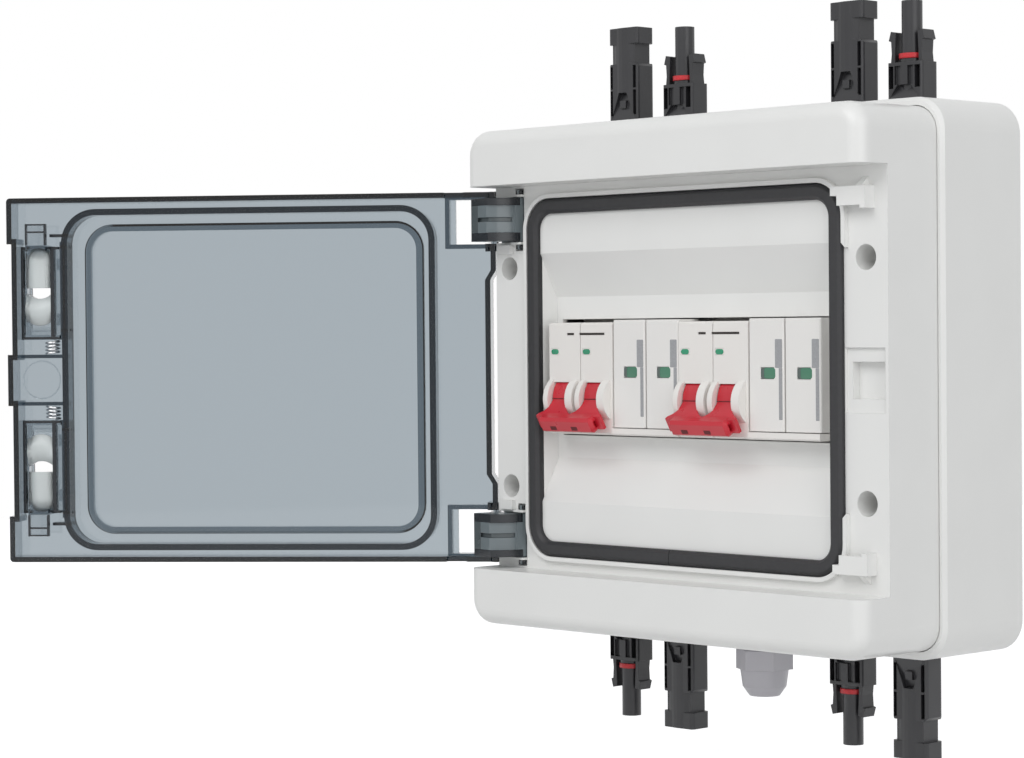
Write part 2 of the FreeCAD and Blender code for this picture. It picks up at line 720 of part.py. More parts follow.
def row_slot():
    """The opening that the faces of the switchgear stand through."""
    return block(POLE_LEFT - ROW_GAP, POLE_LEFT + ROW_POLES * POLE_WIDTH + ROW_GAP,
                 DISH_FLOOR - COVER_WALL - 1, DISH_FLOOR + 1,
                 -FACE_HEIGHT / 2 - ROW_GAP, FACE_HEIGHT / 2 + ROW_GAP)


def door_gasket():
    """A rubber ring with a crowned face, cut and butted at the bottom."""
    front = GASKET_FRONT
    ring = gasket_ring(0, GASKET_WIDTH, GASKET_CORNER, RECESS_FLOOR - GASKET_GROOVE, front)
    ring = ring.makeChamfer(GASKET_CROWN, flat_edges(ring, front))
    joint = block(GASKET_JOINT_X, GASKET_JOINT_X + GASKET_JOINT, 0, BAND_FRONT,
                  -GASKET_HALF_Z - 1, -GASKET_HALF_Z + GASKET_WIDTH + 1)
    return ring.cut(joint)


def door_point(u):
    """X of a place on the closed door, measured from its hinge edge."""
    return DOOR_LEFT + u


def door_outline(inset):
    """The door's outline seen from the front, moved inwards by the inset."""
    far = DOOR_WIDTH - inset
    notch = far - DOOR_NOTCH_DEPTH
    top = DOOR_HALF - inset
    upper = [(HINGE_STEP + inset, HINGE_STEP_NEAR), (inset, HINGE_STEP_FAR), (inset, top),
             (far, top), (far, DOOR_NOTCH_FAR + inset), (notch, DOOR_NOTCH_FAR + inset),
             (notch, DOOR_NOTCH_NEAR - inset), (far, DOOR_NOTCH_NEAR - inset)]
    lower = [(u, -z) for u, z in reversed(upper)]
    return [(door_point(u), z) for u, z in upper + lower]


def door_rounded(near, far, half, corner, inset, d0, d1):
    return rounded_prism(door_point(near + inset), door_point(far - inset), -half + inset,
                         half - inset, corner - inset, d0, d1)


def hatch():
    """The rectangular hole in the door that one hinge link stands through."""
    return block(door_point(HATCH_NEAR), door_point(HATCH_FAR), DOOR_RIM, DOOR_FRONT + 1,
                 LINK_LOW - LINK_GAP, LINK_HIGH + LINK_GAP)


def hatch_frame():
    """Ribs on three sides of the hole, the far one set back from the sweep of the link."""
    near = door_point(HATCH_NEAR - HATCH_RIB)
    far = door_point(HATCH_FAR + HATCH_SETBACK)
    low = LINK_LOW - LINK_GAP
    high = LINK_HIGH + LINK_GAP
    outer = block(near, far + HATCH_RIB, HATCH_RIB_DEPTH, PANEL_BACK + 0.5, low - HATCH_RIB,
                  high + HATCH_RIB)
    return outer.cut(block(near - 1, far, HATCH_RIB_DEPTH - 1, PANEL_BACK, low, high))


def door_ears():
    """Lugs and pins on the door for one hinge link."""
    pin_tip = LINK_PIN_LENGTH - LINK_GAP
    upper = rod_along_z(LINK_EYE, DOOR_PIN_X, DOOR_PIN_DEPTH, LINK_HIGH + LINK_GAP,
                        DOOR_HALF)
    low_top = LINK_LOW - LINK_GAP
    low_bottom = low_top - LUG_HEIGHT
    lower = rod_along_z(LINK_EYE, DOOR_PIN_X, DOOR_PIN_DEPTH, low_bottom, low_top)
    bracket = block(DOOR_LEFT, DOOR_LEFT + 2 * DOOR_WALL, DOOR_PIN_DEPTH, PANEL_BACK + 0.5,
                    low_bottom, low_top)
    corner = block(DOOR_LEFT, DOOR_LEFT + 2 * DOOR_WALL, DOOR_PIN_DEPTH, PANEL_BACK + 0.5,
                   LINK_HIGH + LINK_GAP, DOOR_HALF)
    pins = [rod_along_z(LINK_PIN_RADIUS, DOOR_PIN_X, DOOR_PIN_DEPTH, LINK_HIGH - pin_tip,
                        LINK_HIGH + LINK_GAP + 1),
            rod_along_z(LINK_PIN_RADIUS, DOOR_PIN_X, DOOR_PIN_DEPTH, low_top - 1,
                        LINK_LOW + pin_tip)]
    return [upper, lower, bracket, corner] + pins


def latch_bay():
    """Ribs, slider guides and spring stop on the door for one latch."""
    ribs = []
    stop_top = DOOR_NOTCH_NEAR
    ribs.append(block(door_point(TRAY_NEAR - 1), door_point(DOOR_WIDTH - DOOR_NOTCH_DEPTH - 1),
                      TRAY_WALL_BACK, PANEL_BACK + 0.5, stop_top - MIDDLE_RIB, stop_top))
    guide_left = door_point(TRAY_NEAR) - FIT_GAP
    ribs.append(block(guide_left - GUIDE_LEDGE, guide_left, TRAY_BACK - 2.4, PANEL_BACK + 0.5,
                      TRAY_LOW, TRAY_HIGH + 2))
    end_wall = door_point(DOOR_WIDTH - DOOR_NOTCH_DEPTH - DOOR_WALL)
    for z in (TRAY_LOW + 6, TRAY_HIGH - 10):
        ribs.append(block(guide_left - 0.5, guide_left + 1.5,
                          TRAY_BACK - FIT_GAP - GUIDE_LEDGE,
                          TRAY_BACK - FIT_GAP, z, z + 5))
        ribs.append(block(end_wall - GUIDE_LEDGE, end_wall + 0.5,
                          TRAY_BACK - FIT_GAP - GUIDE_LEDGE,
                          TRAY_BACK - FIT_GAP, z, z + 5))
    return ribs


def finger_hole():
    """The hole in the door's panel that a finger reaches the slider through."""
    return rounded_prism(door_point(FINGER_U) - FINGER_RADIUS + 0.6,
                         door_point(FINGER_U) + FINGER_RADIUS - 0.6, TRAY_LOW + 8,
                         TRAY_HIGH - 4, 4.5, PANEL_BACK - 1, DOOR_FRONT + 1)


def door():
    """The smoked clear door: panel, rim walls, raised window, ribs, lugs and latch bays."""
    body = along_depth(door_outline(0), DOOR_RIM, DOOR_FRONT)
    tall = []
    for edge in body.Edges:
        box = edge.BoundBox
        upright = box.XLength < 1e-4 and box.ZLength < 1e-4
        if upright and abs(abs(box.ZMin) - DOOR_HALF) < 1e-3:
            tall.append(edge)
    body = body.makeFillet(DOOR_CORNER, tall)
    body = body.makeChamfer(DOOR_EDGE, flat_edges(body, DOOR_FRONT))
    hollow = along_depth(door_outline(DOOR_WALL), DOOR_RIM - 1, PANEL_BACK)
    body = body.cut(hollow)
    bulge = door_rounded(WINDOW_NEAR, WINDOW_FAR, WINDOW_HALF, WINDOW_CORNER, 0,
                         PANEL_BACK + 0.5, DOOR_FRONT + WINDOW_RISE)
    bulge = bulge.makeChamfer(DOOR_EDGE, flat_edges(bulge, DOOR_FRONT + WINDOW_RISE))
    rib_back = GASKET_FRONT + FIT_GAP
    rib = door_rounded(RIB_NEAR, RIB_FAR, RIB_HALF, RIB_CORNER, 0, rib_back, PANEL_BACK + 0.5)
    rib = rib.cut(door_rounded(RIB_NEAR, RIB_FAR, RIB_HALF, RIB_CORNER, RIB_THICKNESS,
                               rib_back - 1, PANEL_BACK + 1))
    adds = [body, bulge, rib]
    for upper in (True, False):
        pieces = door_ears() + latch_bay() + [hatch_frame()]
        adds.extend(pieces if upper else [mirrored(piece) for piece in pieces])
    solid = joined(adds)
    cuts = [door_rounded(WINDOW_NEAR, WINDOW_FAR, WINDOW_HALF, WINDOW_CORNER, WINDOW_WALL,
                         PANEL_BACK - 1, DOOR_FRONT + WINDOW_RISE - DOOR_WALL)]
    bearing_notch = block(COVER_PIN_X - BEARING_HALF - 1.2, COVER_PIN_X + BEARING_HALF + 1.2,
                          DOOR_RIM - 1, COVER_PIN_DEPTH + BEARING_RISE + 1.0,
                          DOOR_HALF - DOOR_WALL - 1, DOOR_HALF + 1)
    open_side = block(DOOR_LEFT - 1, door_point(HATCH_NEAR) + 0.1, DOOR_RIM - 1, PANEL_BACK,
                      LINK_LOW - LINK_GAP, LINK_HIGH + LINK_GAP)
    for upper in (True, False):
        pieces = [hatch(), open_side, finger_hole(), bearing_notch]
        cuts.extend(pieces if upper else [mirrored(piece) for piece in pieces])
    solid = solid.cut(cuts)
    pins = door_ears()[-2:]
    for upper in (True, False):
        solid = solid.multiFuse(pins if upper else [mirrored(pin) for pin in pins])
    return solid.removeSplitter()


def hinge_link():
    """One link: an eye at each pin and a block that fills the hole in the door."""
    pin_x = DOOR_PIN_X
    pin_d = DOOR_PIN_DEPTH
    left = door_point(HATCH_NEAR) + LINK_GAP
    outline = [(left, LINK_FRONT), (pin_x + LINK_REACH, LINK_FRONT),
               (pin_x + LINK_REACH, COVER_PIN_DEPTH), (COVER_PIN_X, COVER_PIN_DEPTH - LINK_BARREL),
               (pin_x, pin_d - LINK_EYE), (pin_x - LINK_EYE, pin_d), (left, pin_d + 5)]
    body = along_z(outline, LINK_LOW, LINK_HIGH)
    body = body.common(rod_along_z(LINK_REACH, pin_x, pin_d, LINK_LOW, LINK_HIGH))
    body = joined([body, rod_along_z(LINK_EYE, pin_x, pin_d, LINK_LOW, LINK_HIGH),
                   rod_along_z(LINK_BARREL, COVER_PIN_X, COVER_PIN_DEPTH, LINK_LOW, LINK_HIGH)])
    waist_low = LINK_LOW + 3.4
    waist_high = LINK_HIGH - 2.9
    waist = rod_along_z(LINK_REACH + 1, pin_x, pin_d, waist_low, waist_high)
    waist = waist.cut(rod_along_z(LINK_REACH - 0.8, pin_x, pin_d, waist_low, waist_high))
    waist = waist.common(block(pin_x, pin_x + 2 * LINK_REACH, pin_d + 2.5, LINK_FRONT + 1,
                               waist_low, waist_high))
    middle = (LINK_LOW + LINK_HIGH) / 2
    groove = block(left + 2.5, pin_x + LINK_REACH + 1, pin_d + 3, LINK_FRONT + 1,
                   middle - 0.9, middle + 0.9)
    hole_depth = LINK_PIN_LENGTH
    holes = [rod_along_z(LINK_PIN_RADIUS + SHAFT_GAP, pin_x, pin_d, LINK_HIGH - hole_depth,
                         LINK_HIGH + 1),
             rod_along_z(LINK_PIN_RADIUS + SHAFT_GAP, pin_x, pin_d, LINK_LOW - 1,
                         LINK_LOW + hole_depth)]
    body = body.cut([waist, groove] + holes)
    pins = [rod_along_z(LINK_PIN_RADIUS, COVER_PIN_X, COVER_PIN_DEPTH, LINK_HIGH - 1,
                        LINK_HIGH + LINK_PIN_LENGTH),
            rod_along_z(LINK_PIN_RADIUS, COVER_PIN_X, COVER_PIN_DEPTH,
                        LINK_LOW - LINK_PIN_LENGTH, LINK_LOW + 1)]
    return body.multiFuse(pins).removeSplitter()


def latch_slider():
    """One latch: a sliding tray with a finger cup and a tongue at its end."""
    near = door_point(TRAY_NEAR)
    far = door_point(TRAY_FAR)
    front = TRAY_BACK + TRAY_PLATE
    plate = block(near, far, TRAY_BACK, front, TRAY_LOW, TRAY_HIGH)
    end = block(near, far, TRAY_WALL_BACK, front, TRAY_LOW, TRAY_LOW + TRAY_WALL)
    sides = []
    for x in (near + TRAY_RUNNER_INSET, far - TRAY_RUNNER_INSET - TRAY_RUNNER):
        sides.append(block(x, x + TRAY_RUNNER, TRAY_WALL_BACK, front, TRAY_LOW, TRAY_HIGH))
    tongue_left = door_point(TONGUE_NEAR)
    tongue_right = door_point(TONGUE_FAR)
    leg = block(tongue_left, tongue_right, TONGUE_BACK, front, TRAY_HIGH - TRAY_WALL,
                TRAY_HIGH + 0.4)
    tip = TONGUE_BACK + TONGUE_THICKNESS
    tongue = along_x([(TONGUE_BACK, TRAY_HIGH - 0.5), (tip, TRAY_HIGH - 0.5), (tip, TONGUE_TIP),
                      (TONGUE_BACK + 0.8, TONGUE_TIP), (TONGUE_BACK, TONGUE_TIP - 1.4)],
                     tongue_left, tongue_right)
    x = door_point(FINGER_U)
    cup, hollow = finger_cup(x)
    solid = joined([plate, end, leg, tongue] + sides)
    opening = rod_along_depth(FINGER_ARC_RADIUS, x, FINGER_ARC_Z, TRAY_WALL_BACK - 1, front + 1)
    opening = opening.common(block(x - FINGER_RADIUS + 0.4, x + FINGER_RADIUS - 0.4,
                                   TRAY_WALL_BACK - 1, front + 1, 0, TRAY_HIGH))
    solid = solid.cut(opening).fuse(cup).cut(hollow)
    scoop = rod_along_x(SCOOP_RADIUS, front + SCOOP_RISE, TRAY_LOW + SCOOP_ABOVE, x - FINGER_RADIUS + 1,
                        x + FINGER_RADIUS - 1)
    return solid.cut(scoop).removeSplitter()


def finger_cup(x):
    """A bowl that bulges to the back of the tray, cut straight below, and its hollow."""
    front = TRAY_BACK + TRAY_PLATE
    middle = front - 0.4
    radius = FINGER_RADIUS
    inner = radius - FINGER_SHELL
    ball = Part.makeSphere(radius, at(x, middle, FINGER_TOP))
    cup = ball.fuse(rod_along_z(radius, x, middle, FINGER_CUT, FINGER_TOP))
    cone = Part.makeCone(inner, 0.4 * inner, 0.75 * inner, at(x, middle, FINGER_TOP))
    hollow = cone.fuse(rod_along_z(inner, x, middle, FINGER_CUT, FINGER_TOP))
    keep = block(x - radius - 1, x + radius + 1, middle - radius - 1, front, FINGER_CUT,
                 FINGER_TOP + radius + 1)
    return cup.common(keep), hollow.common(keep)


def latch_spring():
    """A coil spring between the stop rib and the end of the slider, in straight steps."""
    low = DOOR_NOTCH_NEAR + SPRING_WIRE
    rise = TRAY_LOW - SPRING_WIRE - low
    steps = SPRING_TURNS * SPRING_STEPS
    sections = []
    for step in range(steps + 1):
        angle = 2 * math.pi * step / SPRING_STEPS
        across = Vector(math.cos(angle), math.sin(angle), 0)
        middle = across * SPRING_RADIUS + Vector(0, 0, rise * step / steps)
        corners = []
        for out, up in ((1, 0), (0, 1), (-1, 0), (0, -1)):
            corners.append(middle + across * (out * SPRING_WIRE)
                           + Vector(0, 0, up * SPRING_WIRE))
        sections.append(Part.makePolygon(corners + [corners[0]]))
    coil = Part.makeLoft(sections, True, True)
    coil.translate(at(door_point(SPRING_U), TRAY_BACK - 0.4, low))
    return coil


def opened(shape, with_door):
    """A closed hinge link, or a door piece, turned to the open position."""
    shape = shape.copy()
    up = Vector(0, 0, 1)
    if with_door:
        shape.rotate(at(DOOR_PIN_X, DOOR_PIN_DEPTH, 0), up, -DOOR_SWING)
    shape.rotate(at(COVER_PIN_X, COVER_PIN_DEPTH, 0), up, -LINK_SWING)
    return shape


def module_span(first_pole):
    """Left and right X of a two-pole module."""
    left = POLE_LEFT + first_pole * POLE_WIDTH + BODY_GAP / 2
    return left, left + 2 * POLE_WIDTH - BODY_GAP


def pole_centres(first_pole):
    return [POLE_LEFT + (first_pole + step + 0.5) * POLE_WIDTH for step in (0, 1)]


def rail_foot():
    """The back of a module: a fixed hook over the rail, plain below for its clip."""
    half = RAIL_HEIGHT / 2 + RAIL_GAP
    hook_front = RAIL_FRONT - RAIL_SHEET - FIT_GAP
    hook_back = RAIL_FRONT - MODULE_FOOT
    upper = [(hook_back, BODY_HEIGHT / 2), (hook_back, half - 1.5), (hook_back + 1, half - 2.5),
             (hook_front, half - 2.5), (hook_front, half), (RAIL_FRONT, half)]
    lower = [(RAIL_FRONT, -half), (hook_front, -half), (hook_front, -BODY_HEIGHT / 2)]
    return upper + lower


def terminal_cuts(first_pole):
    """Cable mouths in the ends of a module, and wells down to its clamp screws."""
    cuts = []
    end = BODY_HEIGHT / 2
    for x in pole_centres(first_pole):
        for sign in (1, -1):
            mouth = block(x - TERMINAL_MOUTH_HALF, x + TERMINAL_MOUTH_HALF, TERMINAL_DEPTH - 5,
                          TERMINAL_DEPTH + 4, end - TERMINAL_MOUTH_REACH, end + 1)
            well = terminal_column(TERMINAL_WELL, x, TERMINAL_DEPTH + 6, SHOULDER_DEPTH + 1)
            pair = [mouth, well]
            cuts.extend(pair if sign > 0 else [mirrored(piece) for piece in pair])
    return cuts


def terminal_column(radius, x, d0, d1):
    """An eight-sided column at the upper clamp screw of a pole."""
    return along_depth(even_sided(8, radius, x, TERMINAL_Z), d0, d1)


def breaker_case(first_pole):
    """Two-pole breaker: shouldered case, rocker slots with guard ribs, marks and windows."""
    left, right = module_span(first_pole)
    half_body = BODY_HEIGHT / 2
    half_face = FACE_HEIGHT / 2
    outline = rail_foot() + [(SHOULDER_DEPTH, -half_body), (SHOULDER_DEPTH, -half_face),
                             (FACE_DEPTH - FACE_EDGE, -half_face),
                             (FACE_DEPTH, FACE_EDGE - half_face),
                             (FACE_DEPTH, half_face - 0.5 - FACE_EDGE),
                             (FACE_DEPTH - FACE_EDGE, half_face - 0.5),
                             (SHOULDER_DEPTH, half_face - 0.5), (SHOULDER_DEPTH, half_body)]
    case = along_x(outline, left, right)
    adds = [case]
    cuts = terminal_cuts(first_pole)
    slot = ROCKER_SLOT_WIDTH / 2
    for x in pole_centres(first_pole):
        middle = x + ROCKER_OFFSET
        for x0, x1 in ((x - POLE_WIDTH / 2 + GUARD_LEFT, middle - slot),
                       (middle + slot, x + POLE_WIDTH / 2 - GUARD_RIGHT)):
            adds.append(rod_along_x(GUARD_RADIUS, GUARD_DEPTH, ROCKER_PIVOT_Z, x0, x1))
        cuts.append(rod_along_x(ROCKER_DRUM_RADIUS + 0.4, ROCKER_PIVOT_DEPTH, ROCKER_PIVOT_Z,
                                middle - slot, middle + slot))
        cuts.append(block(middle - slot, middle + slot, ROCKER_PIVOT_DEPTH + ROCKER_REACH_BACK,
                          BAND_FRONT, ROCKER_PIVOT_Z - ROCKER_REACH,
                          ROCKER_PIVOT_Z + ROCKER_REACH_TOP))
        cuts.append(window_pocket(indicator_x(x), INDICATOR_Z, INDICATOR_WIDTH, INDICATOR_HEIGHT))
    cuts.append(rod_along_x(ROCKER_PIN_RADIUS + SHAFT_GAP, ROCKER_PIVOT_DEPTH, ROCKER_PIVOT_Z,
                            left + 1.0, right - 1.0))
    split = (left + right) / 2
    cuts.append(block(split - FACE_SPLIT / 2, split + FACE_SPLIT / 2, FACE_DEPTH - FACE_EDGE,
                      BAND_FRONT, -half_face - 1, half_face + 1))
    for near, far in MARK_SLOTS:
        cuts.append(block(split + near, split + far, FACE_DEPTH - MARK_SLOT_SINK, FACE_DEPTH + 1,
                          MARK_SLOT_Z, MARK_SLOT_Z + MARK_SLOT_HEIGHT))
    return joined(adds).cut(cuts)


def indicator_x(x):
    return x - POLE_WIDTH / 2 + INDICATOR_SIDE


def window_pocket(x, z, width, height):
    """A pocket in the face of a module for a coloured window."""
    return block(x - width / 2, x + width / 2, FACE_DEPTH - FLAG_INSET, FACE_DEPTH + 1,
                 z - height / 2, z + height / 2)


def window_piece(x, z, width, height):
    """The coloured window that fills a pocket almost to the face."""
    gap = 2 * SHAFT_GAP
    return block(x - width / 2 + gap, x + width / 2 - gap, FACE_DEPTH - FLAG_INSET,
                 FACE_DEPTH - FIT_GAP, z - height / 2 + gap, z + height / 2 - gap)


def breaker_indicators(first_pole):
    pieces = []
    for x in pole_centres(first_pole):
        pieces.append(window_piece(indicator_x(x), INDICATOR_Z, INDICATOR_WIDTH,
                                   INDICATOR_HEIGHT))
    return Part.makeCompound(pieces)


def breaker_axle(first_pole):
    left, right = module_span(first_pole)
    return rod_along_x(ROCKER_PIN_RADIUS, ROCKER_PIVOT_DEPTH, ROCKER_PIVOT_Z, left + 1.2,
                       right - 1.2)


def breaker_rocker(first_pole):
    """Two levers on drums, tied by one bar, turned down to off."""
    pivot_d = ROCKER_PIVOT_DEPTH
    pivot_z = ROCKER_PIVOT_Z
    near = pivot_d + ROCKER_BAR_NEAR
    far = pivot_d + ROCKER_BAR_FAR
    half = ROCKER_BAR_HALF
    centres = [x + ROCKER_OFFSET for x in pole_centres(first_pole)]
    middle = (centres[0] + centres[1]) / 2
    section = [(near, -0.55 * half), (near + 2, -half), (far - 1.4, -half), (far, -0.7 * half),
               (far, 0.7 * half), (far - 1.4, half), (near + 2, half), (near, 0.55 * half)]
    section = [(depth, pivot_z + z) for depth, z in section]
    bar_half = POLE_WIDTH - ROCKER_BAR_SIDE
    bar = along_x(section, middle - bar_half, middle + bar_half)
    parts = [bar]
    lever = ROCKER_SLOT_WIDTH / 2 - FIT_GAP
    for x in centres:
        parts.append(rod_along_x(ROCKER_DRUM_RADIUS, pivot_d, pivot_z, x - lever, x + lever))
        arm = [(pivot_d + ROCKER_REACH_BACK, pivot_z - LEVER_LOW),
               (near + 2, pivot_z - LEVER_LOW + 1), (near + 2, pivot_z + LEVER_HIGH),
               (pivot_d + ROCKER_REACH_BACK, pivot_z + LEVER_HIGH)]
        parts.append(along_x(arm, x - lever, x + lever))
    solid = joined(parts)
    cuts = [rod_along_x(ROCKER_PIN_RADIUS + SHAFT_GAP, pivot_d, pivot_z,
                        centres[0] - lever - 1, centres[1] + lever + 1)]
    for offset in BAR_MARKS:
        x = middle + offset
        cuts.append(block(x - BAR_MARK_HALF, x + BAR_MARK_HALF, far - 2.4, far + 1,
                          pivot_z - 2.9, pivot_z - 0.6))
    inner = [(depth * 0.45 + (near + far) / 2 * 0.55, z * 0.45 + pivot_z * 0.55)
             for depth, z in section]
    end = middle + bar_half
    cuts.append(along_x(inner, end - 1.6, end + 1))
    solid = solid.cut(cuts)
    solid.rotate(at(0, pivot_d, pivot_z), Vector(1, 0, 0), ROCKER_ANGLE)
    return solid


def surge_base(first_pole):
    """Base of a plug-in surge protector: shoulders with terminals and an open bay."""
    left, right = module_span(first_pole)
    half_body = BODY_HEIGHT / 2
    half_face = FACE_HEIGHT / 2
    bay_top = half_face + CARTRIDGE_GAP + CARTRIDGE_PROUD
    bay_low = CARTRIDGE_LEDGE - half_face
    ledge_front = FACE_DEPTH + LEDGE_PROUD
    outline = rail_foot() + [(SHOULDER_DEPTH, -half_body), (SHOULDER_DEPTH, -half_face),
                             (ledge_front - 0.6, -half_face), (ledge_front, 0.6 - half_face),
                             (ledge_front, bay_low), (CARTRIDGE_BACK, bay_low),
                             (CARTRIDGE_BACK, bay_top), (SHOULDER_DEPTH, bay_top),
                             (SHOULDER_DEPTH, half_body)]
    return along_x(outline, left, right).cut(terminal_cuts(first_pole))


def surge_cartridge(x):
    """One plug-in cartridge with a grip step, a window pocket and two blades."""
    half_width = POLE_WIDTH / 2 - CARTRIDGE_GAP
    half_face = FACE_HEIGHT / 2
    low = CARTRIDGE_LEDGE - half_face + CARTRIDGE_GAP
    high = half_face + CARTRIDGE_PROUD
    back = CARTRIDGE_BACK + CARTRIDGE_GAP
    outline = [(back, low), (FACE_DEPTH, low), (FACE_DEPTH, high - FACE_EDGE),
               (FACE_DEPTH - FACE_EDGE, high), (SHOULDER_DEPTH + 8, high),
               (SHOULDER_DEPTH + 7, high - 0.6), (SHOULDER_DEPTH + 3, high - 0.6),
               (SHOULDER_DEPTH + 2, high), (back, high)]
    body = along_x(outline, x - half_width, x + half_width)
    upright = [edge for edge in body.Edges
               if edge.BoundBox.ZLength > 30 and abs(edge.BoundBox.YMin + FACE_DEPTH) < 1e-4]
    body = body.makeChamfer(0.5, upright)
    return body.cut(window_pocket(x + FLAG_OFFSET, FLAG_Z, FLAG_WIDTH, FLAG_HEIGHT))


def surge_flags(first_pole):
    pieces = []
    for x in pole_centres(first_pole):
        pieces.append(window_piece(x + FLAG_OFFSET, FLAG_Z, FLAG_WIDTH, FLAG_HEIGHT))
    return Part.makeCompound(pieces)


def rail_clips():
    """Sliding foot of each module, hooked behind the lower edge of the rail."""
    clips = []
    front = RAIL_FRONT - RAIL_SHEET - FIT_GAP
    back = RAIL_FRONT - MODULE_FOOT
    top = RAIL_GAP + 2.5 - RAIL_HEIGHT / 2 - 0.2
    low = -BODY_HEIGHT / 2 - CLIP_REACH
    for first_pole in (0, 2, 4, 6):
        left, right = module_span(first_pole)
        x = (left + right) / 2
        outline = [(back, low), (front, low), (front, top), (back + 1.2, top), (back, top - 1.2)]
        clip = along_x(outline, x - CLIP_HALF, x + CLIP_HALF)
        slot = block(x - 2.2, x + 2.2, back - 1, front + 1, low + 1.4, low + 2.8)
        clips.append(clip.cut(slot))
    return Part.makeCompound(clips)


def din_rail():
    """Top-hat rail with a row of slots."""
    half = RAIL_HEIGHT / 2
    outer = RAIL_CHANNEL / 2
    inner = outer - RAIL_SHEET
    back = RAIL_FRONT - RAIL_DEPTH
    upper = [(RAIL_FRONT - RAIL_SHEET, outer), (RAIL_FRONT - RAIL_SHEET, half),
             (RAIL_FRONT, half), (RAIL_FRONT, inner), (back + RAIL_SHEET, inner)]
    lower = [(depth, -z) for depth, z in reversed(upper)]
    outline = [(back, outer)] + upper + lower + [(back, -outer)]
    rail = along_x(outline, -RAIL_LENGTH / 2, RAIL_LENGTH / 2)
    cuts = []
    count = int(2 * RAIL_BOSS_X // RAIL_SLOT_PITCH) - 1
    for step in range(count):
        x = (step - (count - 1) / 2) * RAIL_SLOT_PITCH
        cuts.append(block(x - RAIL_SLOT_LENGTH / 2, x + RAIL_SLOT_LENGTH / 2, back - 1,
                          RAIL_FRONT, -RAIL_SLOT_WIDTH / 2, RAIL_SLOT_WIDTH / 2))
    return rail.cut(cuts)


def both_faces(shape):
    """A shape on the front of a connector, and the same turned round to its back."""
    back = shape.copy()
    back.rotate(Vector(0, 0, 0), Vector(0, 0, 1), 180)
    return [shape, back]


def connector_column(height):
    """Bar that runs up the middle of a connector and bulges front and back."""
    front = []
    for step in range(-3, 4):
        x = COLUMN_HALF * step / 3
        sag = COLUMN_BULGE - math.sqrt(COLUMN_BULGE ** 2 - x ** 2)
        front.append((x, COLUMN_FRONT - sag))
    back = [(-x, -depth) for x, depth in front]
    return along_z(front + back, -CONNECTOR_FOOT, height)


def connector_block(outline, height):
    """An outline seen from the front, with the connector's thickness and round corners."""
    half_w = CONNECTOR_WIDTH / 2
    half_t = CONNECTOR_THICKNESS / 2
    bar = along_z(stepped_corners(half_w, half_t, CONNECTOR_CORNER), 0, height)
    return bar.common(along_depth(outline, -half_t - 1, half_t + 1))


def connector_foot():
    """The narrower foot on the wall, the round shank through it and the nut behind it."""
    half_w = CONNECTOR_WIDTH / 2 - CONNECTOR_FOOT_INSET
    half_t = CONNECTOR_THICKNESS / 2 - CONNECTOR_FOOT_INSET
    foot = block(-half_w, half_w, -half_t, half_t, -CONNECTOR_FOOT, 1)
    shank = rod_along_z(CONNECTOR_SHANK, 0, 0, -SHANK_LENGTH, 0.5)
    top = -CONNECTOR_FOOT - BASE_WALL
    nut = hexagon_along_z(LOCKNUT_ACROSS, top - LOCKNUT_HEIGHT, top)
    return [foot, shank, nut]


def foot_ramp(top, top_half):
    """Sloped recess above the foot, wide below and narrow above."""
    outline = [(-RAMP_LOW_HALF, RAMP_LOW), (RAMP_LOW_HALF, RAMP_LOW), (top_half, top),
               (-top_half, top)]
    front = CONNECTOR_THICKNESS / 2 + 0.3
    slope = [(front, RAMP_LOW), (front + 2, RAMP_LOW), (front + 2, top), (RAMP_BACK, top)]
    shape = along_depth(outline, 0, front + 3)
    return shape.common(along_x(slope, -CONNECTOR_WIDTH, CONNECTOR_WIDTH))


def side_grooves(spans):
    """Upright grooves beside the column, on one face."""
    grooves = []
    for side in (-1, 1):
        x0, x1 = sorted((side * COLUMN_HALF, side * (COLUMN_HALF + GROOVE_WIDTH)))
        for low, high in spans:
            grooves.append(block(x0, x1, GROOVE_BACK, CONNECTOR_THICKNESS, low, high))
    return grooves


def socket_housing():
    """Wide connector: body with side lobes, a waist, and a collar at the mouth."""
    half_w = CONNECTOR_WIDTH / 2
    cut = CONNECTOR_SHOULDER
    right = [(half_w, -0.1), (half_w, WAIST_LOW - cut), (half_w - cut, WAIST_LOW),
             (WAIST_HALF, WAIST_LOW), (WAIST_HALF, WAIST_HIGH), (half_w, WAIST_HIGH),
             (half_w, SOCKET_HEIGHT + 0.1)]
    left = [(-x, z) for x, z in reversed(right)]
    solid = connector_block(right + left, SOCKET_HEIGHT)
    middle = (GROOVE_LOW + WAIST_LOW) / 2
    spans = ((GROOVE_LOW, middle - GROOVE_BRIDGE / 2), (middle + GROOVE_BRIDGE / 2, WAIST_LOW - 1))
    cuts = []
    for groove in side_grooves(spans):
        cuts.extend(both_faces(groove))
    cuts.extend(both_faces(block(-half_w, half_w, WAIST_THICKNESS / 2, CONNECTOR_THICKNESS,
                                 WAIST_LOW, WAIST_HIGH)))
    solid = solid.cut(cuts)
    solid = joined([solid, connector_column(SOCKET_HEIGHT)] + connector_foot())
    cuts = both_faces(foot_ramp(SOCKET_RAMP_TOP, STUB_HALF + 0.6))
    cuts.append(rod_along_z(PLUG_TUBE_RADIUS + 0.2, 0, 0, SOCKET_BORE_LOW, SOCKET_HEIGHT + 1))
    stubs = both_faces(block(-STUB_HALF, STUB_HALF, RAMP_BACK - 1, CONNECTOR_THICKNESS / 2,
                             SOCKET_RAMP_TOP / 2, SOCKET_RAMP_TOP - 2 * STUB_HALF))
    return solid.cut(cuts).multiFuse(stubs).removeSplitter()


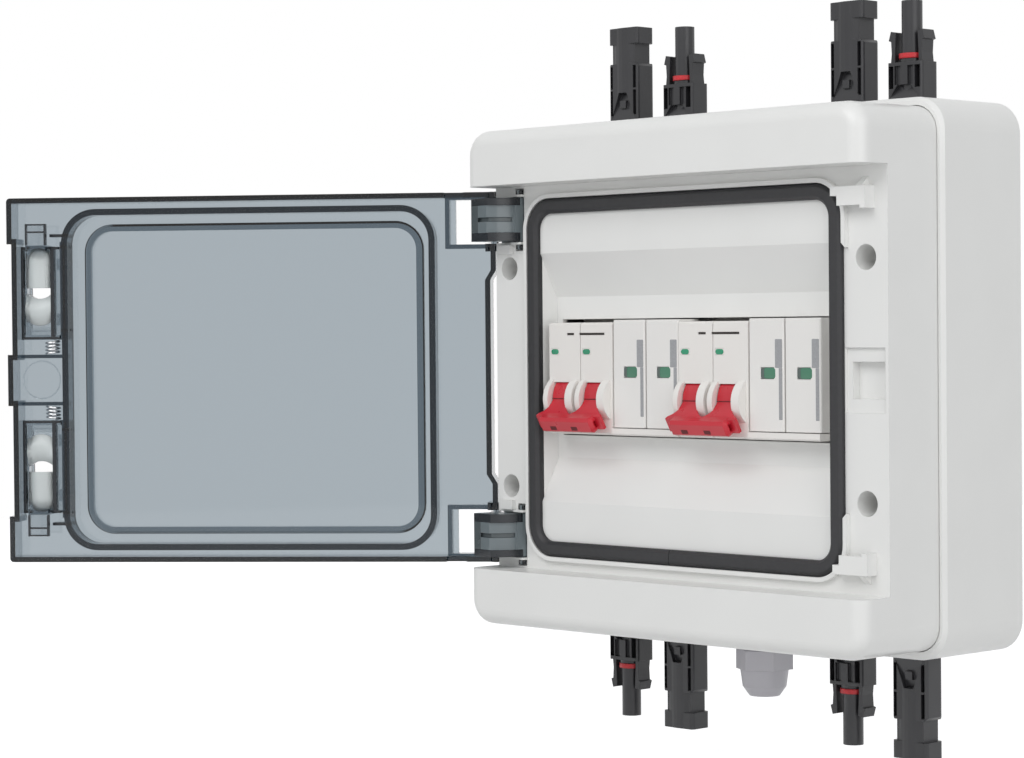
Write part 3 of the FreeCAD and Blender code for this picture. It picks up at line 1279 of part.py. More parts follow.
def spring_arm(side):
    """One spring arm of the slim connector, with its hook at the top."""
    half_w = CONNECTOR_WIDTH / 2
    low = PLUG_BODY_HEIGHT
    arm = [(half_w - 0.6, low - 1), (half_w - 2.6, low - 1), (half_w - 2.6, low + 3.5),
           (half_w - 3.0, ARM_TOP - 0.5), (half_w - 0.7, ARM_TOP), (half_w + 0.3, ARM_TOP - 3.5),
           (half_w - 0.8, ARM_TOP - 3.9), (half_w - 1.1, low + 3.5)]
    return along_depth([(side * x, z) for x, z in arm], -ARM_HALF_DEPTH, ARM_HALF_DEPTH)


def plug_housing():
    """Slim connector: a tube between two hooked spring arms on a short body."""
    half_w = CONNECTOR_WIDTH / 2
    half_t = CONNECTOR_THICKNESS / 2
    height = PLUG_BODY_HEIGHT
    outline = [(-half_w, -0.1), (half_w, -0.1), (half_w, height), (-half_w, height)]
    body = connector_block(outline, height)
    cuts = []
    for side in (-1, 1):
        x0, x1 = sorted((side * PLUG_WINDOW_NEAR, side * PLUG_WINDOW_FAR))
        cuts.extend(both_faces(block(x0, x1, GROOVE_BACK, half_t + 1, PLUG_WINDOW_LOW,
                                     PLUG_WINDOW_HIGH)))
        x0, x1 = sorted((side * STUB_HALF, side * (PLUG_WINDOW_NEAR - 0.5)))
        cuts.extend(both_faces(block(x0, x1, half_t - PLUG_RECESS, half_t + 1,
                                     PLUG_RAMP_TOP, PLUG_WINDOW_HIGH)))
    cuts.extend(both_faces(foot_ramp(PLUG_RAMP_TOP, 2 * STUB_HALF)))
    parts = [body.cut(cuts), rod_along_z(PLUG_NECK_RADIUS, 0, 0, height - 1, RING_LOW - SHAFT_GAP),
             rod_along_z(PLUG_TUBE_RADIUS, 0, 0, 1, PLUG_HEIGHT), spring_arm(-1), spring_arm(1)]
    solid = joined(parts + connector_foot())
    return solid.cut(rod_along_z(CONTACT_RADIUS + FIT_GAP, 0, 0, PLUG_BORE_LOW, PLUG_HEIGHT + 1))


def on_wall(shape, x, sign):
    """A connector piece, moved from the origin to its hole in the top or bottom wall."""
    shape = shape.copy()
    shape.translate(at(x, CONNECTOR_DEPTH, BASE_HEIGHT / 2 + CONNECTOR_FOOT))
    return shape if sign > 0 else mirrored(shape)


def on_walls(shape, places):
    """The same piece at every place in a list."""
    return Part.makeCompound([on_wall(shape, x, sign) for x, sign in places])


def socket_places():
    return [(x, 1) for x in TOP_SOCKETS] + [(x, -1) for x in BOTTOM_SOCKETS]


def plug_places():
    return [(x, 1) for x in TOP_PLUGS] + [(x, -1) for x in BOTTOM_PLUGS]


def plug_ring():
    """Red sealing ring round the foot of a slim connector's tube."""
    ring = rod_along_z(RING_RADIUS, 0, 0, RING_LOW, RING_LOW + RING_HEIGHT)
    return ring.cut(rod_along_z(PLUG_TUBE_RADIUS + SHAFT_GAP, 0, 0, RING_LOW - 1,
                                RING_LOW + RING_HEIGHT + 1))


def contact_pin():
    """Round pin that stands inside a wide connector."""
    return rod_along_z(CONTACT_RADIUS, 0, 0, SOCKET_BORE_LOW, PIN_TIP)


def turned(profile):
    """A ring or dome turned round Z from an outline of radius and height."""
    corners = [Vector(radius, 0, z) for radius, z in profile]
    face = Part.Face(Part.makePolygon(corners + [corners[0]]))
    return face.revolve(Vector(0, 0, 0), Vector(0, 0, 1), 360)


def under_wall(shape):
    """A gland piece, turned over and moved to its hole in the bottom wall."""
    shape = shape.copy()
    shape.translate(at(GLAND_X, CONNECTOR_DEPTH, BASE_HEIGHT / 2))
    return mirrored(shape)


def gland_neck_top():
    return GLAND_BODY_HEIGHT + GLAND_NECK_HEIGHT


def gland_body():
    """Hexagon collar on the wall, neck for the nut, shank through the wall and its locknut."""
    collar = hexagon_along_z(GLAND_BODY_ACROSS, 0, GLAND_BODY_HEIGHT)
    locknut = hexagon_along_z(GLAND_BODY_ACROSS, -BASE_WALL - LOCKNUT_HEIGHT, -BASE_WALL)
    shank = rod_along_z(GLAND_SHANK, 0, 0, -SHANK_LENGTH + 1, gland_neck_top())
    bore = rod_along_z(GLAND_BORE + GLAND_SEAL_WALL, 0, 0, GLAND_BODY_HEIGHT + 1,
                       gland_neck_top() + 1)
    throat = rod_along_z(GLAND_BORE + 1, 0, 0, -SHANK_LENGTH, GLAND_BODY_HEIGHT + 2)
    return joined([collar, locknut, shank]).cut([bore, throat])


def gland_nut():
    """Hexagon nut that ends in a round dome with the cable hole in its middle."""
    low = GLAND_BODY_HEIGHT + FIT_GAP
    top = low + GLAND_NUT_HEIGHT
    hex_top = low + GLAND_NUT_HEX
    hexagon = hexagon_along_z(GLAND_NUT_ACROSS, low, hex_top)
    dome_radius = GLAND_NUT_ACROSS / 2 - FIT_GAP
    mouth = GLAND_BORE + 1.0
    arc = []
    for degrees in (40, 85):
        angle = math.radians(degrees)
        spread = mouth + 0.8 + (dome_radius - mouth - 0.8) * math.cos(angle)
        arc.append((spread, hex_top + (top - hex_top) * math.sin(angle)))
    dome = turned([(0, hex_top - 1), (dome_radius, hex_top - 1), (dome_radius, hex_top)] + arc
                  + [(0, arc[-1][1])])
    seat = gland_neck_top() + FIT_GAP
    cuts = [rod_along_z(GLAND_SHANK + SHAFT_GAP, 0, 0, low - 1, seat),
            rod_along_z(GLAND_BORE + GLAND_SEAL_WALL, 0, 0, seat - 1, top - GLAND_LIP),
            rod_along_z(mouth, 0, 0, top - 3, top + 1)]
    return hexagon.fuse(dome).removeSplitter().cut(cuts)


def gland_seal():
    """Rubber insert that grips the cable."""
    low = GLAND_BODY_HEIGHT + 1 + FIT_GAP
    top = GLAND_BODY_HEIGHT + GLAND_NUT_HEIGHT - GLAND_LIP
    ring = rod_along_z(GLAND_BORE + GLAND_SEAL_WALL - SHAFT_GAP, 0, 0, low, top)
    return ring.cut(rod_along_z(GLAND_BORE, 0, 0, low - 1, top + 1))


def nodes():
    """Every piece by name."""
    pieces = {}
    pieces["base_box"] = base_box()
    pieces["front_cover"] = front_cover()
    pieces["door_gasket"] = door_gasket()
    pieces["door"] = opened(door(), True)
    link = hinge_link()
    pieces["upper_hinge_link"] = opened(link, False)
    pieces["lower_hinge_link"] = opened(mirrored(link), False)
    slider = latch_slider()
    pieces["upper_latch_slider"] = opened(slider, True)
    pieces["lower_latch_slider"] = opened(mirrored(slider), True)
    spring = latch_spring()
    pieces["upper_latch_spring"] = opened(spring, True)
    pieces["lower_latch_spring"] = opened(mirrored(spring), True)
    pieces["din_rail"] = din_rail()
    pieces["rail_clips"] = rail_clips()
    for side, first_pole in (("left", 0), ("right", 4)):
        pieces[side + "_breaker_case"] = breaker_case(first_pole)
        pieces[side + "_breaker_rocker"] = breaker_rocker(first_pole)
        pieces[side + "_breaker_axle"] = breaker_axle(first_pole)
        pieces[side + "_breaker_indicators"] = breaker_indicators(first_pole)
        surge_pole = first_pole + 2
        pieces[side + "_surge_base"] = surge_base(surge_pole)
        for name, x in zip(("one", "two"), pole_centres(surge_pole)):
            pieces[side + "_surge_cartridge_" + name] = surge_cartridge(x)
        pieces[side + "_surge_flags"] = surge_flags(surge_pole)
    pieces["wide_connectors"] = on_walls(socket_housing(), socket_places())
    pieces["slim_connectors"] = on_walls(plug_housing(), plug_places())
    pieces["connector_pins"] = on_walls(contact_pin(), socket_places())
    pieces["connector_rings"] = on_walls(plug_ring(), plug_places())
    pieces["gland_body"] = under_wall(gland_body())
    pieces["gland_nut"] = under_wall(gland_nut())
    pieces["gland_seal"] = under_wall(gland_seal())
    return pieces


def main():
    os.makedirs("parts", exist_ok=True)
    for name, shape in nodes().items():
        shape.exportStep(os.path.join("parts", name + ".step"))
        print(name, len(shape.Solids), round(shape.Volume), shape.isValid())


main()
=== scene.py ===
import bmesh
import bpy
import json
import math
from mathutils import Matrix, Vector


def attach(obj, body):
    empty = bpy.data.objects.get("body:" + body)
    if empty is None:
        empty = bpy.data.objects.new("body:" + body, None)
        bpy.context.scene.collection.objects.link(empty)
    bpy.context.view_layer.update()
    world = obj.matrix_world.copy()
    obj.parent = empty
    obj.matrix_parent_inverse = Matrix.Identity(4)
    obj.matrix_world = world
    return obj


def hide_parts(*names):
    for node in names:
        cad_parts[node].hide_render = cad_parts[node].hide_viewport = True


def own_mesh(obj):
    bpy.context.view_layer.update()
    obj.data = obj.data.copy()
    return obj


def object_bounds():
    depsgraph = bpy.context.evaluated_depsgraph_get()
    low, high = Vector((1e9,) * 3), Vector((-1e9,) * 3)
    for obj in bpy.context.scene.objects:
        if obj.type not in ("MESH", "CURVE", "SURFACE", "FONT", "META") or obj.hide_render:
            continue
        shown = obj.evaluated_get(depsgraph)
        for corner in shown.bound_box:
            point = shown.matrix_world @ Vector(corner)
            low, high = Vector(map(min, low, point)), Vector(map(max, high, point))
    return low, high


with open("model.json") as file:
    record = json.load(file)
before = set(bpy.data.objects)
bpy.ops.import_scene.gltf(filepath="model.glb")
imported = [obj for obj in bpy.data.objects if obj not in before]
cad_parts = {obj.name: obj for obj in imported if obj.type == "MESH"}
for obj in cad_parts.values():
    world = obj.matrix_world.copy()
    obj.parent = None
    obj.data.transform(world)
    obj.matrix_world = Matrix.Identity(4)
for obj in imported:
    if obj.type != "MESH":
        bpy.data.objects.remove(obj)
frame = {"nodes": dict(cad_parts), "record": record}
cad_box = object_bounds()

bl_info = {
    "name": "Solar Breaker Box",
    "version": (1, 0, 0),
    "blender": (4, 5, 0),
    "location": "View3D > Sidebar > Breaker Box",
    "description": "Dresses the pieces of a solar direct-current breaker box with its door open",
    "category": "Object",
}

MM = 0.001
NODES = frame["nodes"]

# Places on the box, in millimetres: X to the right, heights up, depths in front of the back
FACE_DEPTH = 77.7
POLE_LEFT = -70.75
POLE_WIDTH = 17.75
SCREW_X = 92.9
SCREW_HEIGHT = 44.4
SCREW_SEAT = 58.0

# The number of each device's first pole, counted from the left
BREAKERS = {"left": 0, "right": 4}
SURGE_PROTECTORS = {"left": 2, "right": 6}

# Heights on the faces of the switchgear
SLOT_HEIGHT = 17.45
WINDOW_HEIGHT = 10.4
FLAG_HEIGHT = 2.4

# The pin of the rockers, how far they are turned down, and their drums, levers and bar
ROCKER_PIN_HEIGHT = -8.5
ROCKER_PIN_DEPTH = 68.5
ROCKER_TURN = 30.0
DRUM_RADIUS = 10.75
DRUM_HALF = 4.5
LEVER_SHIFT = -1.2
LEVER_LOW = -3.6
LEVER_TOP = 5.4
LEVER_REACH = 8.5
LEVER_HALF = 4.45
BAR_HALF = 13.6
BAR_FRONT = 20.0

# The door is placed closed and turned open, as its solids are
DOOR_LEFT = -104.0
DOOR_PIN = (-103.3, 79.6)
DOOR_TURN = -130.0
COVER_PIN = (-86.6, 78.0)
LINK_TURN = -9.0

# On the door: the latches' springs and finger cups, the curved edge of the hole below a
# cup, and the ring between the latches
SPRING_X = DOOR_LEFT + 188.5
SPRING_DEPTH = 86.9
SPRING_FOOT = 10.7
SPRING_TOP = 16.9
SPRING_TURNS = 3.75
STEPS_A_TURN = 24
CUP_X = DOOR_LEFT + 193.8
HOLE_HALF = 5.6
HOLE_RADIUS = 7.6
HOLE_SWEEP = 94.8
HOLE_STEPS = 18
RING_X = DOOR_LEFT + 194.2
RING_RADIUS = 7.9
DOOR_FACE = 90.3

# On a hinge link: its flat face, its flanges and the blocks at the ends of its pin
LINK_FACE = 92.25
LINK_FLANGES = ((55.4, 58.8), (69.9, 72.8))
PIN_BLOCKS = (75.2, 53.0)

# The camera's place in metres and its directions, solved from straight edges of the box
CAMERA_PLACE = Vector((0.7162, -0.8478, 0.0196))
CAMERA_RIGHT = Vector((0.6896, 0.7241, -0.0089))
CAMERA_AHEAD = Vector((-0.7241, 0.6894, -0.0182))


# Settings that a user would change

class BreakerBoxColours(bpy.types.PropertyGroup):
    case: bpy.props.StringProperty(
        name="Case", description="Off-white of the moulded box", default="#F0F0EE")
    module: bpy.props.StringProperty(
        name="Module", description="Warm white of the switchgear", default="#F2EFEB")
    cartridge: bpy.props.StringProperty(
        name="Cartridge", description="White of the plug-in cartridges", default="#F1EFEC")
    rocker: bpy.props.StringProperty(
        name="Rocker", description="Red of the rockers", default="#CF2536")
    smoke: bpy.props.StringProperty(
        name="Door", description="Tint of the smoked door, links and latches", default="#00647F")
    window: bpy.props.StringProperty(
        name="Window", description="Green of the indicators and flags", default="#2E9A72")
    band: bpy.props.StringProperty(
        name="Band", description="Grey of the printed bands", default="#A4A5A8")
    connector: bpy.props.StringProperty(
        name="Connector", description="Near black of the connectors", default="#2E2E31")
    gland: bpy.props.StringProperty(
        name="Gland", description="Pale grey of the cable gland", default="#CFCDD3")


class BreakerBoxSizes(bpy.types.PropertyGroup):
    screw_radius: bpy.props.FloatProperty(
        name="Screw head", description="Radius of a cover screw's head", default=0.0040,
        unit="LENGTH")
    screw_height: bpy.props.FloatProperty(
        name="Screw head height", description="Height of a cover screw's head", default=0.0026,
        unit="LENGTH")
    spring_radius: bpy.props.FloatProperty(
        name="Spring radius", description="Radius of a latch spring at the middle of its wire",
        default=0.0028, unit="LENGTH")
    spring_wire: bpy.props.FloatProperty(
        name="Spring wire", description="Radius of the wire of a latch spring", default=0.00042,
        unit="LENGTH")
    soft_edge: bpy.props.FloatProperty(
        name="Soft edge", description="Radius of the rounding that moulded edges show",
        default=0.0004, unit="LENGTH")
    camera_lens: bpy.props.FloatProperty(
        name="Lens", description="Focal length of the camera in millimetres", default=96.05,
        unit="CAMERA")
    floor_gap: bpy.props.FloatProperty(
        name="Floor gap", description="Distance from the lowest piece to the floor",
        default=0.012, unit="LENGTH")
    key_power: bpy.props.FloatProperty(
        name="Key power", description="Power of the largest lamp in watts", default=16.0,
        unit="POWER")
    fill_power: bpy.props.FloatProperty(
        name="Fill power", description="Power of the fill lamp in watts", default=7.0,
        unit="POWER")


def colours():
    return bpy.context.scene.breaker_box_colours


def sizes():
    return bpy.context.scene.breaker_box_sizes


# Materials

def linear(code):
    """An sRGB hex code as linear red, green, blue and alpha."""
    code = code.lstrip("#")
    channels = [int(code[i:i + 2], 16) / 255 for i in (0, 2, 4)]
    channels = [c / 12.92 if c <= 0.04045 else ((c + 0.055) / 1.055) ** 2.4 for c in channels]
    return (*channels, 1.0)


def shaded(code, gain):
    """A hex code made darker or lighter by a gain on each channel."""
    code = code.lstrip("#")
    channels = [min(255, round(int(code[i:i + 2], 16) * gain)) for i in (0, 2, 4)]
    return "#%02X%02X%02X" % tuple(channels)


def add_node(tree, kind, inputs=None, ramp=None, **settings):
    """Adds a node, sets its properties, sets or links its inputs, and its ramp's two ends."""
    node = tree.nodes.new(kind)
    for key, value in settings.items():
        setattr(node, key, value)
    for key, value in (inputs or {}).items():
        if isinstance(value, bpy.types.Node):
            value = value.outputs[0]
        if isinstance(value, bpy.types.NodeSocket):
            tree.links.new(value, node.inputs[key])
        else:
            node.inputs[key].default_value = value
    for end, (position, code) in zip(node.color_ramp.elements if ramp else (), ramp or ()):
        end.position = position
        end.color = linear(code)
    return node


def grain(size_mm):
    """Noise scale for blotches of a real size."""
    return 1.0 / (size_mm * MM)


def new_material(name):
    """A material, its node tree with nothing in it yet, and its Object coordinates."""
    material = bpy.data.materials.new(name)
    material.use_nodes = True
    tree = material.node_tree
    tree.nodes.clear()
    place = add_node(tree, "ShaderNodeTexCoord").outputs["Object"]
    return material, tree, place


def moulded_plastic(name, code, roughness, grain_mm, relief_mm, spread):
    """Injection-moulded plastic.

    The colour is all but even, with flow marks that only just show. The mould's eroded skin
    gives a fine relief and uneven gloss, and the edges catch light as rounded edges do. The
    skin's grain is really under 0.1 mm and is drawn coarser, so that it shows.
    """
    material, tree, place = new_material(name)
    flow = add_node(tree, "ShaderNodeTexNoise",
                    {"Vector": place, "Scale": grain(26.0), "Detail": 1.5})
    colour = add_node(tree, "ShaderNodeValToRGB", {"Fac": flow},
                      ramp=((0.32, shaded(code, 1.0 - spread)), (0.68, code)))
    patches = add_node(tree, "ShaderNodeTexNoise",
                       {"Vector": place, "Scale": grain(7.0), "Detail": 3.0})
    gloss = add_node(tree, "ShaderNodeMapRange",
                     {"Value": patches, "From Min": 0.3, "From Max": 0.7,
                      "To Min": roughness * 0.9, "To Max": roughness * 1.1})
    skin = add_node(tree, "ShaderNodeTexNoise",
                    {"Vector": place, "Scale": grain(grain_mm), "Detail": 4.0})
    rounded = add_node(tree, "ShaderNodeBevel", {"Radius": sizes().soft_edge}, samples=4)
    relief = add_node(tree, "ShaderNodeBump",
                      {"Height": skin, "Distance": relief_mm * MM, "Strength": 0.35,
                       "Normal": rounded})
    shader = add_node(tree, "ShaderNodeBsdfPrincipled",
                      {"Base Color": colour, "Roughness": gloss, "IOR": 1.5,
                       "Normal": relief})
    add_node(tree, "ShaderNodeOutputMaterial", {"Surface": shader})
    return material


def smoked_polycarbonate(name, density, roughness):
    """Smoked clear polycarbonate, polished in the mould.

    The dye is all through it, so that thin walls look pale grey-blue and walls seen edge on
    look nearly black. A faint waviness from the mould bends what is seen through it.
    """
    material, tree, place = new_material(name)
    flow = add_node(tree, "ShaderNodeTexNoise",
                    {"Vector": place, "Scale": grain(30.0), "Detail": 1.0})
    waves = add_node(tree, "ShaderNodeBump",
                     {"Height": flow, "Distance": 0.004 * MM, "Strength": 0.2})
    shader = add_node(tree, "ShaderNodeBsdfPrincipled",
                      {"Base Color": linear("#FFFFFF"), "Transmission Weight": 1.0, "IOR": 1.45,
                       "Roughness": roughness, "Normal": waves})
    dye = add_node(tree, "ShaderNodeVolumeAbsorption",
                   {"Color": linear(colours().smoke), "Density": density})
    add_node(tree, "ShaderNodeOutputMaterial", {"Surface": shader, "Volume": dye})
    return material


def moulded_rubber(name, code, roughness):
    """Moulded rubber: a soft sheen, and a dusty grain drawn at 2 mm so that it shows."""
    material, tree, place = new_material(name)
    dust = add_node(tree, "ShaderNodeTexNoise",
                    {"Vector": place, "Scale": grain(2.0), "Detail": 5.0, "Roughness": 0.6})
    colour = add_node(tree, "ShaderNodeValToRGB", {"Fac": dust},
                      ramp=((0.35, code), (0.78, shaded(code, 1.22))))
    skin = add_node(tree, "ShaderNodeTexNoise",
                    {"Vector": place, "Scale": grain(0.5), "Detail": 3.0})
    rounded = add_node(tree, "ShaderNodeBevel", {"Radius": 0.0009}, samples=4)
    relief = add_node(tree, "ShaderNodeBump",
                      {"Height": skin, "Distance": 0.03 * MM, "Strength": 0.4,
                       "Normal": rounded})
    shader = add_node(tree, "ShaderNodeBsdfPrincipled",
                      {"Base Color": colour, "Roughness": roughness, "IOR": 1.52,
                       "Normal": relief})
    add_node(tree, "ShaderNodeOutputMaterial", {"Surface": shader})
    return material


def plated_metal(name, code, roughness, scratch_mm):
    """Plated or drawn metal: bright, with fine uneven gloss drawn coarser than it is."""
    material, tree, place = new_material(name)
    bloom = add_node(tree, "ShaderNodeTexNoise",
                     {"Vector": place, "Scale": grain(1.5), "Detail": 5.0})
    colour = add_node(tree, "ShaderNodeValToRGB", {"Fac": bloom},
                      ramp=((0.3, shaded(code, 0.86)), (0.8, code)))
    fine = add_node(tree, "ShaderNodeTexNoise",
                    {"Vector": place, "Scale": grain(scratch_mm), "Detail": 3.0})
    gloss = add_node(tree, "ShaderNodeMapRange",
                     {"Value": fine, "From Min": 0.3, "From Max": 0.7,
                      "To Min": roughness * 0.8, "To Max": roughness * 1.25})
    relief = add_node(tree, "ShaderNodeBump",
                      {"Height": fine, "Distance": 0.01 * MM, "Strength": 0.3})
    shader = add_node(tree, "ShaderNodeBsdfPrincipled",
                      {"Base Color": colour, "Metallic": 1.0, "Roughness": gloss,
                       "Normal": relief})
    add_node(tree, "ShaderNodeOutputMaterial", {"Surface": shader})
    return material


def printed_ink(name, code):
    """Pad-printed ink: thin and matt, with its slight mottling drawn at 0.8 mm to show."""
    material, tree, place = new_material(name)
    mottle = add_node(tree, "ShaderNodeTexNoise",
                      {"Vector": place, "Scale": grain(0.8), "Detail": 4.0})
    colour = add_node(tree, "ShaderNodeValToRGB", {"Fac": mottle},
                      ramp=((0.3, shaded(code, 0.95)), (0.7, shaded(code, 1.03))))
    shader = add_node(tree, "ShaderNodeBsdfPrincipled",
                      {"Base Color": colour, "Roughness": 0.55})
    add_node(tree, "ShaderNodeOutputMaterial", {"Surface": shader})
    return material


def finish(name):
    """A finish by its short name, made when it is first asked for."""
    c = colours()
    makers = {
        # ABS from a finely eroded mould: satin, with soft broad highlights
        "case": ("satin_moulded_abs", moulded_plastic, c.case, 0.33, 0.5, 0.02, 0.008),
        # Glass-filled polyamide: a drier, warmer white
        "module": ("matt_moulded_polyamide", moulded_plastic, c.module, 0.46, 0.4, 0.02, 0.01),
        "cartridge": ("white_moulded_polyamide", moulded_plastic, c.cartridge, 0.42, 0.4, 0.02,
                      0.01),
        # Polished polyamide: the levers shine along their edges
        "rocker": ("gloss_red_polyamide", moulded_plastic, c.rocker, 0.3, 0.4, 0.01, 0.05),
        # Painted shade: dark red plates over small hollows and gaps in the rockers, which lie in
        # shadow
        "rocker_painted_shade": ("gloss_red_polyamide_painted_shade", moulded_plastic, "#5C0A12", 0.6, 0.4, 0.01, 0.05),
        # Polished polycarbonate, dyed in the mass
        "smoke": ("smoked_clear_polycarbonate", smoked_polycarbonate, 449.0, 0.03),
        # The latches are hollow mouldings, so the dye is thinner in their solids
        "slider": ("smoked_polycarbonate_latches", smoked_polycarbonate, 160.0, 0.06),
        # Thick smoked polycarbonate lets so little through that it looks like grey glass
        "link": ("smoked_polycarbonate_links", moulded_plastic, "#707A7E", 0.16, 0.4, 0.04,
                 0.01),
        # Painted shade: the same plastic, darker, on the floors of the links' grooves and on their
        # flat faces
        "groove": ("smoked_polycarbonate_painted_shade", moulded_plastic, "#4E5659", 0.25, 0.4, 0.04,
                   0.01),
        # Seen edge on, the same plastic is nearly black; on the blocks at the links' pins it is
        # painted shade
        "flange": ("smoked_polycarbonate_edges", moulded_plastic, "#191E24", 0.26, 0.4, 0.04,
                   0.01),
        # The back of the finger cup is left from the eroded mould, so it scatters the light
        "frost": ("frosted_smoked_polycarbonate", moulded_plastic, "#D2D8D8", 0.32, 0.4, 0.03,
                  0.02),
        # Rubber from a press: matt black, greyed by dust
        "rubber": ("moulded_black_rubber", moulded_rubber, "#1E1E21", 0.5),
        "red_rubber": ("red_silicone_rubber", moulded_rubber, "#B8242C", 0.42),
        # Glass-filled polyphenylene: near black, with grey highlights on its ridges
        "connector": ("black_moulded_polyphenylene", moulded_plastic, c.connector, 0.36, 0.45,
                      0.03, 0.12),
        # Plain nylon: waxy, with a soft sheen
        "gland": ("pale_grey_moulded_nylon", moulded_plastic, c.gland, 0.36, 0.45, 0.02, 0.02),
        "clip": ("black_moulded_nylon", moulded_plastic, "#262628", 0.5, 0.45, 0.02, 0.1),
        # Polished green plastic, level with the face
        "window": ("green_flag_plastic", moulded_plastic, c.window, 0.24, 0.4, 0.005, 0.12),
        # The flag lies behind a clear window; a dark plate under its left end is painted shadow of
        # the window
        "flag": ("deep_green_flag_plastic", moulded_plastic, "#4E8E70", 0.2, 0.4, 0.005, 0.2),
        "shade": ("flag_end_painted_shadow", moulded_plastic, "#5C6A66", 0.3, 0.4, 0.01, 0.1),
        # Painted shade: a dark sheet inside each slot, where little light comes
        "slot": ("slot_painted_shade", moulded_plastic, "#38322F", 0.6, 0.4, 0.01, 0.1),
        "band": ("grey_printed_band", printed_ink, c.band),
        # Electroplated steel: bright, with a slight bloom
        "zinc": ("bright_zinc_plate", plated_metal, "#C9CACB", 0.28, 0.7),
        "spring": ("drawn_spring_steel", plated_metal, "#E4E5E7", 0.2, 0.4),
        "tin": ("tin_plated_copper", plated_metal, "#D2D0CB", 0.3, 0.5),
    }
    known = makers[name]
    found = bpy.data.materials.get(known[0])
    return found or known[1](known[0], *known[2:])


FINISH_OF = {
    "case_plastic": "case", "smoked_clear": "smoke", "gasket_rubber": "rubber",
    "seal_rubber": "rubber", "red_rubber": "red_rubber", "link_plastic": "link",
    "slider_plastic": "slider", "spring_steel": "spring", "zinc_steel": "zinc",
    "clip_plastic": "clip", "module_plastic": "module", "cartridge_plastic": "cartridge",
    "red_plastic": "rocker", "green_plastic": "window", "connector_plastic": "connector",
    "tinned_copper": "tin", "gland_plastic": "gland",
}


def slot_of(node_name):
    """The material slot that the record gives to a CAD node."""
    for entry in frame["record"]["subparts"]:
        if entry["node"] == node_name:
            return entry["material_slot"]
    raise KeyError(node_name)


# Shaping

# From a drawing seen from the front, X across, Y up and Z forward, to the frame
FRONT = Matrix(((1, 0, 0, 0), (0, 0, -1, 0), (0, 1, 0, 0), (0, 0, 0, 1)))


def turn_about(pin, degrees):
    """A turn about an upright pin at an X and a depth, in millimetres."""
    middle = Matrix.Translation((pin[0], -pin[1], 0))
    return middle @ Matrix.Rotation(math.radians(degrees), 4, "Z") @ middle.inverted()


def opened():
    """From the closed door to the open one that the solids show."""
    return turn_about(COVER_PIN, LINK_TURN) @ turn_about(DOOR_PIN, DOOR_TURN) @ FRONT


def upper_and_lower(place):
    """The two mirrored places of a piece on the door or its hinge, each with its name."""
    return (("upper", place), ("lower", place @ Matrix.Scale(-1, 4, (0, 1, 0))))


def pole_middle(number):
    return POLE_LEFT + (number + 0.5) * POLE_WIDTH


def finished(name, built, body, finishes, place=FRONT, replaced=(), smooth=38.0):
    """Turns a bmesh in millimetres into a piece that rides on a body."""
    bmesh.ops.remove_doubles(built, verts=built.verts, dist=1e-5)
    built.transform(Matrix.Scale(MM, 4) @ place)
    built.normal_update()
    bmesh.ops.recalc_face_normals(built, faces=built.faces)
    mesh = bpy.data.meshes.new(name)
    built.to_mesh(mesh)
    built.free()
    for item in finishes:
        mesh.materials.append(finish(item))
    mesh.shade_smooth()
    mesh.set_sharp_from_angle(angle=math.radians(smooth))
    piece = bpy.data.objects.new(name, mesh)
    bpy.context.scene.collection.objects.link(piece)
    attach(piece, body)
    if replaced:
        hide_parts(*replaced)
    return piece


def unique(items):
    """The items in their order, each only once."""
    return list(dict.fromkeys(items))


def verts_in(items):
    return [item for item in items if isinstance(item, bmesh.types.BMVert)]


def edges_in(items):
    return [item for item in items if isinstance(item, bmesh.types.BMEdge)]


def faces_in(items):
    return [item for item in items if isinstance(item, bmesh.types.BMFace)]


def arc(built, start, middle, axis, degrees, steps):
    """A chain of edges that a point sweeps round an axis; gives its last point."""
    point = built.verts.new(start)
    swept = bmesh.ops.spin(built, geom=[point], cent=middle, axis=axis, dvec=(0, 0, 0),
                           angle=math.radians(degrees), steps=steps, use_merge=False,
                           use_duplicate=False)["geom_last"]
    return verts_in(swept)[0]


def drawn_out(built, edges, travel):
    """Extrudes a chain of edges along a line and gives its new edges."""
    wall = bmesh.ops.extrude_edge_only(built, edges=edges)["geom"]
    bmesh.ops.translate(built, verts=verts_in(wall), vec=travel)
    return edges_in(wall)


def raised_face(built, face, travel):
    """Extrudes a face along a line and gives the face at the far end."""
    far = faces_in(bmesh.ops.extrude_face_region(built, geom=[face])["geom"])[0]
    bmesh.ops.translate(built, verts=far.verts, vec=travel)
    return far


def outline(built, x, y, width, height, radius):
    """A flat rectangle, seen from the front, with its corners rounded."""
    old = set(built.faces)
    corners = bmesh.ops.create_grid(built, x_segments=1, y_segments=1, size=0.5)["verts"]
    bmesh.ops.scale(built, verts=corners, vec=(width, height, 1))
    bmesh.ops.translate(built, verts=corners, vec=(x, y, 0))
    if radius:
        bmesh.ops.bevel(built, geom=corners, offset=radius, segments=5, profile=0.5,
                        affect="VERTICES", material=-1)
    return [face for face in built.faces if face not in old][0]


def plate(built, x, y, width, height, radius, back, front, crown=0.0):
    """A rounded plate between two depths, with the edge of its face rounded by the crown."""
    face = outline(built, x, y, width, height, radius)
    bmesh.ops.translate(built, verts=face.verts, vec=(0, 0, back))
    top = raised_face(built, face, (0, 0, front - back))
    if crown:
        bmesh.ops.bevel(built, geom=top.edges[:], offset=crown, segments=3, profile=0.5,
                        affect="EDGES", material=-1)


# The pieces

class BREAKERBOX_OT_finishes(bpy.types.Operator):
    """Gives every carried-over piece its finish"""
    bl_idname = "breaker_box.finishes"
    bl_label = "Finishes"

    def execute(self, context):
        for name, obj in NODES.items():
            material = finish(FINISH_OF[slot_of(name)])
            if not obj.material_slots:
                obj.data.materials.append(material)
            for held in obj.material_slots:
                held.material = material
        return {"FINISHED"}


